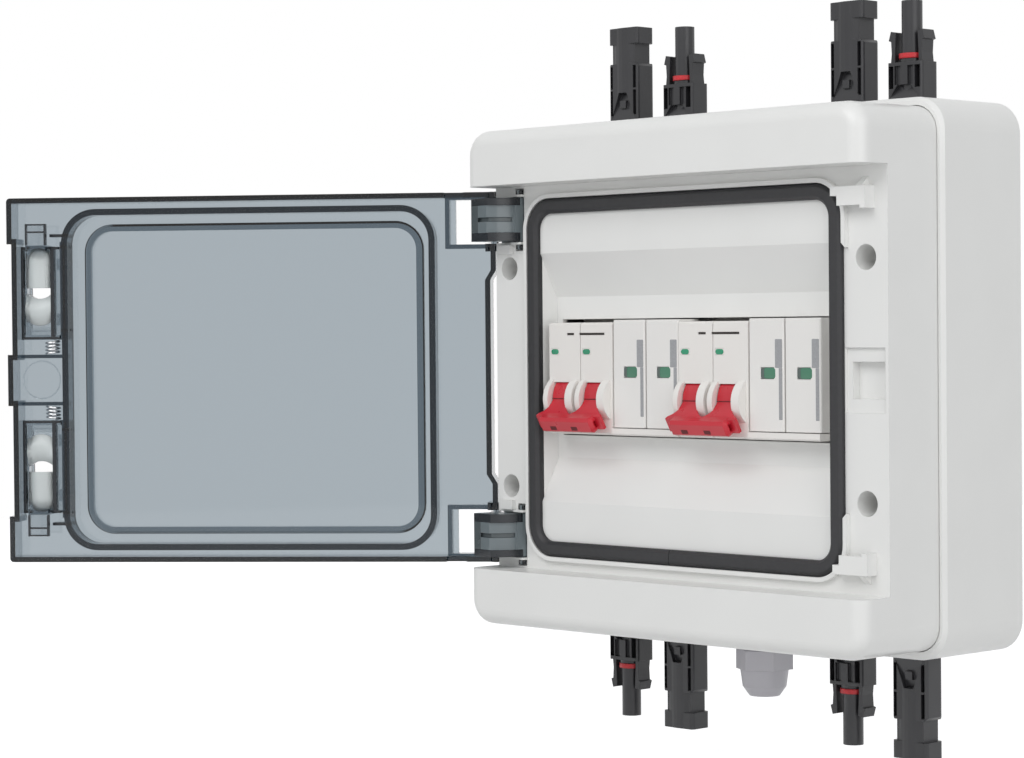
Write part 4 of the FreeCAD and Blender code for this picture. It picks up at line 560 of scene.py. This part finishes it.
class BREAKERBOX_OT_cover_screws(bpy.types.Operator):
    """Makes the four cross-recessed screws at the bottom of the cover's wells"""
    bl_idname = "breaker_box.cover_screws"
    bl_label = "Cover Screws"

    def execute(self, context):
        built = bmesh.new()
        for across in (-SCREW_X, SCREW_X):
            for up in (-SCREW_HEIGHT, SCREW_HEIGHT):
                self.screw(built, across, up)
        finished("cover_screws", built, "enclosure", ["zinc"])
        return {"FINISHED"}

    def screw(self, built, x, y):
        """A pan head: its rim is bridged to a cross, which is then pushed in."""
        cross_half, cross_arm, cross_sunk = 0.45, 1.7, -1.5
        radius = sizes().screw_radius / MM
        top = SCREW_SEAT + sizes().screw_height / MM
        rim = bmesh.ops.create_circle(built, cap_ends=True, segments=32, radius=radius)["verts"]
        bmesh.ops.translate(built, verts=rim, vec=(x, y, SCREW_SEAT))
        edges = rim[0].link_faces[0].edges[:]
        for spread, rise in ((1.0, 0.45), (0.93, 0.3), (0.78, 0.16)):
            edges = drawn_out(built, edges, (0, 0, rise * (top - SCREW_SEAT)))
            verts = unique(vert for edge in edges for vert in edge.verts)
            bmesh.ops.scale(built, verts=verts, vec=(spread, spread, 1),
                            space=Matrix.Translation((-x, -y, 0)))
        centre = bmesh.ops.create_grid(built, x_segments=1, y_segments=1,
                                       size=cross_half)["verts"]
        bmesh.ops.translate(built, verts=centre, vec=(x, y, top))
        middle = centre[0].link_faces[0]
        arms = [middle]
        for edge in list(middle.edges):
            outward = (edge.verts[0].co + edge.verts[1].co) / 2 - Vector((x, y, top))
            arm = bmesh.ops.extrude_edge_only(built, edges=[edge])["geom"]
            bmesh.ops.translate(built, verts=verts_in(arm),
                                vec=outward.normalized() * cross_arm)
            arms.extend(faces_in(arm))
        cross = [edge for face in arms for edge in face.edges if edge.is_boundary]
        bmesh.ops.bridge_loops(built, edges=edges + cross)
        sunk = bmesh.ops.extrude_face_region(built, geom=arms)["geom"]
        bmesh.ops.translate(built, verts=verts_in(sunk), vec=(0, 0, cross_sunk))
        bmesh.ops.delete(built, geom=[face for face in arms if face.is_valid],
                         context="FACES_ONLY")


class BREAKERBOX_OT_latch_springs(bpy.types.Operator):
    """Makes the two coil springs behind the latches, which shorten as a latch slides"""
    bl_idname = "breaker_box.latch_springs"
    bl_label = "Latch Springs"

    def execute(self, context):
        for side, place in upper_and_lower(opened()):
            self.spring(side, place)
        return {"FINISHED"}

    def spring(self, side, place):
        """A disc of the wire's section, turned round the spring's middle as it rises."""
        steps = int(SPRING_TURNS * STEPS_A_TURN)
        radius = sizes().spring_radius / MM
        wire = sizes().spring_wire / MM
        low, high = SPRING_FOOT + wire, SPRING_TOP - wire
        built = bmesh.new()
        disc = bmesh.ops.create_circle(built, cap_ends=True, segments=10, radius=wire)["verts"]
        stand = Matrix.Translation((SPRING_X + radius, low, SPRING_DEPTH)) \
            @ Matrix.Rotation(math.pi, 4, "Y")
        bmesh.ops.transform(built, verts=disc, matrix=stand)
        bmesh.ops.spin(built, geom=built.faces[:] + built.edges[:] + built.verts[:],
                       cent=(SPRING_X, low, SPRING_DEPTH), axis=(0, 1, 0),
                       dvec=(0, (high - low) / steps, 0), angle=2 * math.pi * SPRING_TURNS,
                       steps=steps, use_merge=False, use_duplicate=False)
        piece = finished(side + "_latch_coil", built, "door", ["spring"], place,
                         [side + "_latch_spring"], 60.0)
        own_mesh(piece)


class BREAKERBOX_OT_rockers(bpy.types.Operator):
    """Makes the red rockers: two levers on drums that flare into one bar with pointed ends"""
    bl_idname = "breaker_box.rockers"
    bl_label = "Rockers"

    def execute(self, context):
        # A rocker is drawn level with its pin at the origin, then set on its pin, turned down
        place = FRONT @ Matrix.Translation((0, ROCKER_PIN_HEIGHT, ROCKER_PIN_DEPTH)) \
            @ Matrix.Rotation(math.radians(ROCKER_TURN), 4, "X")
        for side, first in BREAKERS.items():
            levers = [pole_middle(pole) + LEVER_SHIFT for pole in (first, first + 1)]
            middle = sum(levers) / 2
            built = bmesh.new()
            for x in levers:
                self.drum(built, x)
                self.lever(built, x)
            self.bar(built, middle)
            finished(side + "_rocker_moulding", built, side + "_rocker",
                     ["rocker"], place, [side + "_breaker_rocker"])
            # Painted shade, as dark red plates: two hollows in the bar, and the line where each
            # lever leaves its drum
            painted_shade_plates = bmesh.new()
            for offset in (-7.0, 4.6):
                plate(painted_shade_plates, middle + offset, -1.7, 3.3, 1.7, 0.2, BAR_FRONT - 0.8,
                      BAR_FRONT + 0.05)
            for x in levers:
                plate(painted_shade_plates, x, LEVER_TOP + 0.1, 8.7, 0.24, 0, 8.9, 9.42)
            finished(side + "_rocker_painted_shade", painted_shade_plates, side + "_rocker", ["rocker_painted_shade"],
                     place)
        return {"FINISHED"}

    def drum(self, built, x):
        """A disc drawn out across the pole, with its rims rounded."""
        disc = bmesh.ops.create_circle(built, cap_ends=True, segments=72,
                                       radius=DRUM_RADIUS)["verts"]
        bmesh.ops.rotate(built, verts=disc, cent=(0, 0, 0),
                         matrix=Matrix.Rotation(math.pi / 2, 3, "Y"))
        bmesh.ops.translate(built, verts=disc, vec=(x - DRUM_HALF, 0, 0))
        face = disc[0].link_faces[0]
        far = raised_face(built, face, (2 * DRUM_HALF, 0, 0))
        bmesh.ops.bevel(built, geom=far.edges[:] + face.edges[:], offset=0.3, segments=2,
                        profile=0.5, affect="EDGES", material=-1)

    def lever(self, built, x):
        """A block drawn out to the bar in slices that grow wider and lower."""
        low, top, reach, half = LEVER_LOW, LEVER_TOP, LEVER_REACH, LEVER_HALF
        face = outline(built, x, (top + low) / 2, 2 * half, top - low, 0)
        bmesh.ops.translate(built, verts=face.verts, vec=(0, 0, reach))
        # Each slice: how far out it is, half its width, and its top
        for next_reach, next_half, next_top in ((10.0, 4.45, 4.7), (11.5, 4.6, 4.0),
                                                (12.6, 5.0, 3.5), (13.5, 5.7, 3.1),
                                                (14.3, 6.7, 2.7), (14.9, 7.7, 2.5),
                                                (15.5, 8.8, 2.3), (17.0, 8.87, 2.2)):
            last = face
            face = raised_face(built, face, (0, 0, next_reach - reach))
            stretch = (next_top - low) / (top - low)
            bmesh.ops.scale(built, verts=face.verts, vec=(next_half / half, stretch, 1),
                            space=Matrix.Translation((-x, -low, 0)))
            # The slice's start would stay inside as a wall, but for the first, which closes it
            if reach > LEVER_REACH:
                bmesh.ops.delete(built, geom=[last], context="FACES_ONLY")
            reach, half, top = next_reach, next_half, next_top

    def bar(self, built, middle):
        """An eight-sided bar with tapered ends, hollowed at its right end."""
        section = [(-2.4, 13.9), (-4.1, 15.4), (-4.1, 18.8), (-3.0, BAR_FRONT),
                   (1.3, BAR_FRONT), (2.6, 18.9), (2.2, 15.0), (1.0, 13.9)]
        left = built.faces.new([built.verts.new((middle - BAR_HALF, up, out))
                                for up, out in section])
        right = raised_face(built, left, (2 * BAR_HALF, 0, 0))
        walls = unique(face for edge in left.edges for face in edge.link_faces)
        bmesh.ops.recalc_face_normals(built, faces=walls + [right])
        bmesh.ops.inset_individual(built, faces=[left, right], thickness=1.3, depth=1.3,
                                   use_even_offset=True)
        bmesh.ops.inset_individual(built, faces=[right], thickness=0.5, depth=0.0,
                                   use_even_offset=True)
        bmesh.ops.inset_individual(built, faces=[right], thickness=0.05, depth=-1.8,
                                   use_even_offset=True)


class BREAKERBOX_OT_windows(bpy.types.Operator):
    """Makes the green contact windows of the breakers and the flags of the cartridges"""
    bl_idname = "breaker_box.windows"
    bl_label = "Windows"

    def execute(self, context):
        for side, first in BREAKERS.items():
            glass, rim = bmesh.new(), bmesh.new()
            for pole in (first, first + 1):
                x = pole_middle(pole) - POLE_WIDTH / 2 + 3.3
                plate(rim, x, WINDOW_HEIGHT, 4.36, 2.36, 0, FACE_DEPTH - 1.3,
                      FACE_DEPTH - 0.06)
                plate(glass, x, WINDOW_HEIGHT, 4.1, 2.1, 1.0, FACE_DEPTH - 0.8,
                      FACE_DEPTH + 0.12, 0.25)
            finished(side + "_contact_windows", glass, "enclosure", ["window"],
                     replaced=[side + "_breaker_indicators"])
            finished(side + "_contact_window_rims", rim, "enclosure",
                     ["module"])
        for side, first in SURGE_PROTECTORS.items():
            flag, rim = bmesh.new(), bmesh.new()
            for pole in (first, first + 1):
                x = pole_middle(pole)
                # Painted shadow: a dark plate under each flag, which shows at its left end
                plate(rim, x + 1.0, FLAG_HEIGHT, 7.0, 4.2, 1.15, FACE_DEPTH - 0.05,
                      FACE_DEPTH + 0.03)
                plate(flag, x + 1.75, FLAG_HEIGHT, 5.5, 4.2, 1.15, FACE_DEPTH - 0.3,
                      FACE_DEPTH + 0.12, 0.1)
            finished(side + "_flags", flag, "enclosure", ["flag"],
                     replaced=[side + "_surge_flags"])
            finished(side + "_flag_painted_shadows", rim, "enclosure", ["shade"])
        return {"FINISHED"}


class BREAKERBOX_OT_face_marks(bpy.types.Operator):
    """Makes the plain grey bands of the cartridges and dark sheets of painted shade in the slots
    of the breakers
    """
    bl_idname = "breaker_box.face_marks"
    bl_label = "Face Marks"

    def execute(self, context):
        for side, first in SURGE_PROTECTORS.items():
            built = bmesh.new()
            for pole in (first, first + 1):
                self.band(built, pole_middle(pole) + 7.9)
            finished(side + "_bands", built, "enclosure", ["band"])
        for side, first in BREAKERS.items():
            built = bmesh.new()
            split = pole_middle(first) + POLE_WIDTH / 2
            # Painted shade: a dark sheet sunk in each slot
            for near, far in ((-7.6, -3.6), (-0.7, 13.4)):
                plate(built, split + (near + far) / 2, SLOT_HEIGHT, far - near - 0.06, 0.84, 0,
                      FACE_DEPTH - 1.5, FACE_DEPTH - 0.35)
            finished(side + "_slot_painted_shade_sheets", built, "enclosure", ["slot"])
        return {"FINISHED"}

    def band(self, built, right):
        """A band that is wide above the flag and narrow beside it, ending at the right."""
        plate(built, right - 1.75, 9.75, 3.5, 10.7, 0.4, FACE_DEPTH, FACE_DEPTH + 0.03)
        plate(built, right - 0.85, -5.3, 1.7, 19.3, 0.2, FACE_DEPTH, FACE_DEPTH + 0.03)


class BREAKERBOX_OT_latch_cups(bpy.types.Operator):
    """Makes the frosted finger cup and scoop of each latch, and the dark frame round them"""
    bl_idname = "breaker_box.latch_cups"
    bl_label = "Latch Cups"

    def execute(self, context):
        for side, place in upper_and_lower(opened()):
            body = side + "_latch"
            cup = bmesh.new()
            self.bowl(cup)
            self.scoop(cup)
            finished(side + "_finger_cup", cup, body, ["frost"], place)
            edging = bmesh.new()
            self.edging(edging)
            finished(side + "_latch_frame", edging, body, ["flange"], place)
            # Each rib: its two ends across and its two ends in height
            ribs = bmesh.new()
            for near, far, low, high in ((183.1, 183.8, 17.5, 58.0), (180.4, 184.5, 55.3, 56.4),
                                         (180.4, 188.9, 60.0, 61.2), (180.4, 184.5, 20.4, 21.4)):
                self.bar(ribs, near, far, low, high, 84.9, 90.0)
            finished(side + "_guide_ribs", ribs, "door", ["flange"], place)
        return {"FINISHED"}

    def bar(self, built, near, far, low, high, back, front):
        """A bar between two ends across, counted from the door's left side, and in height."""
        plate(built, DOOR_LEFT + (near + far) / 2, (low + high) / 2, far - near, high - low, 0,
              back, front)

    def bowl(self, built):
        """Half a tube, closed at the top by a quarter of a ball."""
        x, radius, depth, low, high = CUP_X, 6.25, 89.6, 38.6, 49.3
        arc(built, (x - radius, low, depth), (x, low, depth), (0, 1, 0), -180, 28)
        top = drawn_out(built, built.edges[:], (0, high - low, 0))
        bmesh.ops.spin(built, geom=top + unique(vert for edge in top for vert in edge.verts),
                       cent=(x, high, depth), axis=(1, 0, 0), dvec=(0, 0, 0),
                       angle=math.pi / 2, steps=14, use_merge=False, use_duplicate=False)
        bmesh.ops.remove_doubles(built, verts=built.verts, dist=1e-4)
        built.normal_update()
        bmesh.ops.recalc_face_normals(built, faces=built.faces)
        bmesh.ops.solidify(built, geom=built.faces[:], thickness=0.4)

    def scoop(self, built):
        """A strip below the hole, bulged to the back, both ends cut to the hole's curve."""
        steps, drop, deepest = 8, -1.35, -0.9
        old = set(built.edges)
        arc(built, (CUP_X - HOLE_HALF, 36.36, 87.1), (CUP_X, 41.5, 87.1), (0, 0, 1),
            HOLE_SWEEP, HOLE_STEPS)
        edges = [edge for edge in built.edges if edge not in old]
        strip = []
        for step in range(steps):
            bulge = deepest * math.cos(math.pi * (step + 0.5) / steps)
            edges = drawn_out(built, edges, (0, drop, bulge))
            strip.extend(face for edge in edges for face in edge.link_faces)
        bmesh.ops.solidify(built, geom=unique(strip), thickness=0.5)

    def edging(self, built):
        """The walls of a latch that are seen edge on, and two lines below its cup."""
        # Each bar: its two ends across, its two ends in height, its back and its front
        for near, far, low, high, back, front in (
                (200.1, 201.1, 17.0, 56.0, 84.2, 87.4), (187.0, 188.5, 17.0, 56.0, 84.2, 87.4),
                (185.2, 201.0, 17.1, 18.1, 84.25, 87.35), (185.2, 190.0, 54.9, 55.9, 84.25, 87.35),
                (197.4, 201.0, 54.9, 55.9, 84.25, 87.35), (189.2, 189.9, 56.5, 65.4, 79.2, 81.6),
                (197.2, 197.9, 56.5, 65.4, 79.2, 81.6), (189.3, 197.8, 64.7, 65.3, 79.25, 81.55),
                (189.3, 197.8, 61.6, 62.3, 79.25, 81.55)):
            self.bar(built, near, far, low, high, back, front)
        for height in (25.0, 23.9):
            self.line(built, CUP_X, height)

    def line(self, built, x, height):
        """A thin raised line that runs parallel to the hole's curve."""
        wire = bmesh.ops.create_circle(built, cap_ends=True, segments=8, radius=0.2)["verts"]
        bmesh.ops.rotate(built, verts=wire, cent=(0, 0, 0),
                         matrix=Matrix.Rotation(math.radians(-HOLE_SWEEP / 2), 3, "Z")
                         @ Matrix.Rotation(math.pi / 2, 3, "X"))
        bmesh.ops.translate(built, verts=wire, vec=(x - HOLE_HALF, height + 2.46, 86.9))
        disc = wire[0].link_faces[0]
        bmesh.ops.spin(built, geom=[disc] + disc.edges[:] + wire,
                       cent=(x, height + HOLE_RADIUS, 86.9), axis=(0, 0, 1),
                       dvec=(0, 0, 0), angle=math.radians(HOLE_SWEEP), steps=HOLE_STEPS,
                       use_merge=False, use_duplicate=False)


class BREAKERBOX_OT_link_faces(bpy.types.Operator):
    """Makes the dark flanges of the hinge links, and their groove floors and pin blocks in painted
    shade
    """
    bl_idname = "breaker_box.link_faces"
    bl_label = "Link Faces"

    def execute(self, context):
        for side, place in upper_and_lower(turn_about(COVER_PIN, LINK_TURN) @ FRONT):
            flanges = bmesh.new()
            for low, high in LINK_FLANGES:
                self.flange(flanges, low, high)
            # Painted shade: a dark block at each end of the pin
            for height in PIN_BLOCKS:
                plate(flanges, COVER_PIN[0], height, 3.8, 1.9, 0.3, 76.4, 79.0, 0.2)
            finished(side + "_link_flanges", flanges, "hinge_links", ["flange"],
                     place)
            middle = bmesh.new()
            # Painted shade: the groove's floor, a darker plate on the flat face, and the ends of
            # the pins
            self.groove_floor(middle)
            plate(middle, -98.8, 64.35, 4.8, 11.1, 0, LINK_FACE - 0.25, LINK_FACE)
            for height in PIN_BLOCKS:
                plate(middle, COVER_PIN[0], height, 1.7, 0.9, 0.2, 78.9, 79.08)
            finished(side + "_link_groove_painted_shade", middle, "hinge_links", ["groove"],
                     place)
        return {"FINISHED"}

    def flange(self, built, low, high):
        """A thin band over the round face and the flat face of a link."""
        old = set(built.edges)
        pin_x, pin_depth = DOOR_PIN
        end = arc(built, (pin_x + 18.95, low, pin_depth), (pin_x, low, pin_depth), (0, 1, 0),
                  -41.8, 12)
        corner = built.verts.new((-101.2, low, LINK_FACE))
        built.edges.new((end, corner))
        edges = drawn_out(built, [edge for edge in built.edges if edge not in old],
                          (0, high - low, 0))
        faces = [face for edge in edges for face in edge.link_faces]
        bmesh.ops.solidify(built, geom=faces, thickness=0.12)

    def groove_floor(self, built):
        """A slice of a disc, cut off at the front, the back and the left."""
        pin_x, pin_depth = DOOR_PIN
        disc = bmesh.ops.create_circle(built, cap_ends=True, segments=72, radius=17.6)["verts"]
        bmesh.ops.rotate(built, verts=disc, cent=(0, 0, 0),
                         matrix=Matrix.Rotation(math.pi / 2, 3, "X"))
        bmesh.ops.translate(built, verts=disc, vec=(pin_x, 63.2, pin_depth))
        for cut, away in (((0, 0, 91.2), (0, 0, 1)), ((0, 0, 82.7), (0, 0, -1)),
                          ((-98.6, 0, 0), (-1, 0, 0))):
            bmesh.ops.bisect_plane(built, geom=built.verts[:] + built.edges[:] + built.faces[:],
                                   plane_co=cut, plane_no=away, clear_outer=True)
        raised_face(built, built.faces[:][0], (0, 1.8, 0))


class BREAKERBOX_OT_door_ring(bpy.types.Operator):
    """Makes the thin raised ring on the door between its latches"""
    bl_idname = "breaker_box.door_ring"
    bl_label = "Door Ring"

    def execute(self, context):
        built = bmesh.new()
        half = 0.28
        wire = bmesh.ops.create_circle(built, cap_ends=True, segments=8, radius=half)["verts"]
        bmesh.ops.rotate(built, verts=wire, cent=(0, 0, 0),
                         matrix=Matrix.Rotation(math.pi / 2, 3, "X"))
        bmesh.ops.translate(built, verts=wire,
                            vec=(RING_X + RING_RADIUS, 0, DOOR_FACE - half))
        bmesh.ops.delete(built, geom=built.faces[:], context="FACES_ONLY")
        bmesh.ops.spin(built, geom=built.edges[:] + built.verts[:],
                       cent=(RING_X, 0, DOOR_FACE), axis=(0, 0, 1), angle=2 * math.pi,
                       steps=64, use_merge=True, use_duplicate=False)
        finished("door_ring", built, "door", ["smoke"], opened(), smooth=70.0)
        return {"FINISHED"}


# Stage

def lamp(name, place, width, height, power):
    """A rectangular lamp that faces the middle of the box."""
    data = bpy.data.lights.new(name, "AREA")
    data.shape = "RECTANGLE"
    data.size = width
    data.size_y = height
    data.energy = power
    obj = bpy.data.objects.new(name, data)
    obj.location = place
    aim = Vector((0, -0.05, 0)) - Vector(place)
    obj.rotation_euler = aim.to_track_quat("-Z", "Y").to_euler()
    bpy.context.scene.collection.objects.link(obj)


def seen_white(tree):
    """1 for camera, mirror and see-through rays, 0 for rays that light the object."""
    path = add_node(tree, "ShaderNodeLightPath")
    first = add_node(tree, "ShaderNodeMath",
                     {0: path.outputs["Is Camera Ray"], 1: path.outputs["Is Glossy Ray"]},
                     operation="MAXIMUM")
    return add_node(tree, "ShaderNodeMath", {0: first, 1: path.outputs["Is Transmission Ray"]},
                    operation="MAXIMUM").outputs[0]


class BREAKERBOX_OT_stage(bpy.types.Operator):
    """Makes the camera, the lamps, the pale floor and the white surroundings"""
    bl_idname = "breaker_box.stage"
    bl_label = "Stage"

    def execute(self, context):
        context.scene.view_settings.view_transform = "Standard"
        self.camera(context.scene)
        self.floor(context.scene)
        self.surroundings(context.scene)
        lamp("key_lamp", (0.1, -1.7, 1.3), 1.6, 1.2, sizes().key_power)
        lamp("fill_lamp", (1.6, -0.6, 0.5), 1.2, 1.2, sizes().fill_power)
        return {"FINISHED"}

    def camera(self, scene):
        right = CAMERA_RIGHT.normalized()
        ahead = CAMERA_AHEAD.normalized()
        up = right.cross(ahead).normalized()
        right = ahead.cross(up).normalized()
        data = bpy.data.cameras.new("camera")
        data.sensor_width = 36.0
        data.lens = sizes().camera_lens
        data.clip_start = 0.05
        data.clip_end = 40.0
        camera = bpy.data.objects.new("camera", data)
        place = CAMERA_PLACE
        camera.matrix_world = Matrix((
            (right.x, up.x, -ahead.x, place.x), (right.y, up.y, -ahead.y, place.y),
            (right.z, up.z, -ahead.z, place.z), (0, 0, 0, 1)))
        scene.collection.objects.link(camera)
        scene.camera = camera

    def floor(self, scene):
        """A disc under the box.

        Its own shade is lifted towards white for the rays that see it, so that it meets the
        white surroundings without an edge and still holds the object's shadow. Through the
        smoked door it is as white as they are.
        """
        lowest = cad_box[0][2]
        mesh = bpy.data.meshes.new("floor")
        built = bmesh.new()
        bmesh.ops.create_circle(built, cap_ends=True, segments=96, radius=1.6)
        bmesh.ops.translate(built, verts=built.verts,
                            vec=(0, 0, lowest - sizes().floor_gap))
        built.to_mesh(mesh)
        built.free()
        floor = bpy.data.objects.new("floor", mesh)
        scene.collection.objects.link(floor)
        material = bpy.data.materials.new("pale_matt_floor")
        material.use_nodes = True
        tree = material.node_tree
        tree.nodes.clear()
        plain = add_node(tree, "ShaderNodeBsdfDiffuse", {"Color": linear("#E6E6E6")})
        glow = add_node(tree, "ShaderNodeEmission", {"Color": (1, 1, 1, 1), "Strength": 0.72})
        lit = add_node(tree, "ShaderNodeAddShader", {0: plain, 1: glow})
        seen = add_node(tree, "ShaderNodeMixShader", {0: seen_white(tree), 1: plain, 2: lit})
        white = add_node(tree, "ShaderNodeEmission", {"Color": (1, 1, 1, 1), "Strength": 1.0})
        path = add_node(tree, "ShaderNodeLightPath")
        mix = add_node(tree, "ShaderNodeMixShader",
                       {0: path.outputs["Is Transmission Ray"], 1: seen, 2: white})
        add_node(tree, "ShaderNodeOutputMaterial", {"Surface": mix})
        mesh.materials.append(material)

    def surroundings(self, scene):
        """White for the rays that see it, and soft for the rays that light the object."""
        world = bpy.data.worlds.new("studio")
        world.use_nodes = True
        tree = world.node_tree
        tree.nodes.clear()
        dim = add_node(tree, "ShaderNodeBackground",
                       {"Color": linear("#F6F8FA"), "Strength": 0.45})
        white = add_node(tree, "ShaderNodeBackground", {"Color": (1, 1, 1, 1), "Strength": 1.0})
        mix = add_node(tree, "ShaderNodeMixShader", {0: seen_white(tree), 1: dim, 2: white})
        add_node(tree, "ShaderNodeOutputWorld", {"Surface": mix})
        scene.world = world


class BREAKERBOX_PT_panel(bpy.types.Panel):
    """Lists the steps that make the breaker box"""
    bl_idname = "BREAKERBOX_PT_panel"
    bl_label = "Breaker Box"
    bl_space_type = "VIEW_3D"
    bl_region_type = "UI"
    bl_category = "Breaker Box"

    def draw(self, context):
        for step in STEPS:
            self.layout.operator(step.bl_idname)


STEPS = (BREAKERBOX_OT_finishes, BREAKERBOX_OT_cover_screws, BREAKERBOX_OT_latch_springs,
         BREAKERBOX_OT_rockers, BREAKERBOX_OT_windows, BREAKERBOX_OT_face_marks,
         BREAKERBOX_OT_latch_cups, BREAKERBOX_OT_link_faces, BREAKERBOX_OT_door_ring,
         BREAKERBOX_OT_stage)
CLASSES = (BreakerBoxColours, BreakerBoxSizes) + STEPS + (BREAKERBOX_PT_panel,)


def register():
    for item in CLASSES:
        bpy.utils.register_class(item)
    bpy.types.Scene.breaker_box_colours = bpy.props.PointerProperty(type=BreakerBoxColours)
    bpy.types.Scene.breaker_box_sizes = bpy.props.PointerProperty(type=BreakerBoxSizes)


def unregister():
    del bpy.types.Scene.breaker_box_sizes
    del bpy.types.Scene.breaker_box_colours
    for item in reversed(CLASSES):
        bpy.utils.unregister_class(item)


def main():
    register()
    bpy.ops.breaker_box.finishes()
    bpy.ops.breaker_box.cover_screws()
    bpy.ops.breaker_box.latch_springs()
    bpy.ops.breaker_box.rockers()
    bpy.ops.breaker_box.windows()
    bpy.ops.breaker_box.face_marks()
    bpy.ops.breaker_box.latch_cups()
    bpy.ops.breaker_box.link_faces()
    bpy.ops.breaker_box.door_ring()
    bpy.ops.breaker_box.stage()


if __name__ == "__main__":
    main()
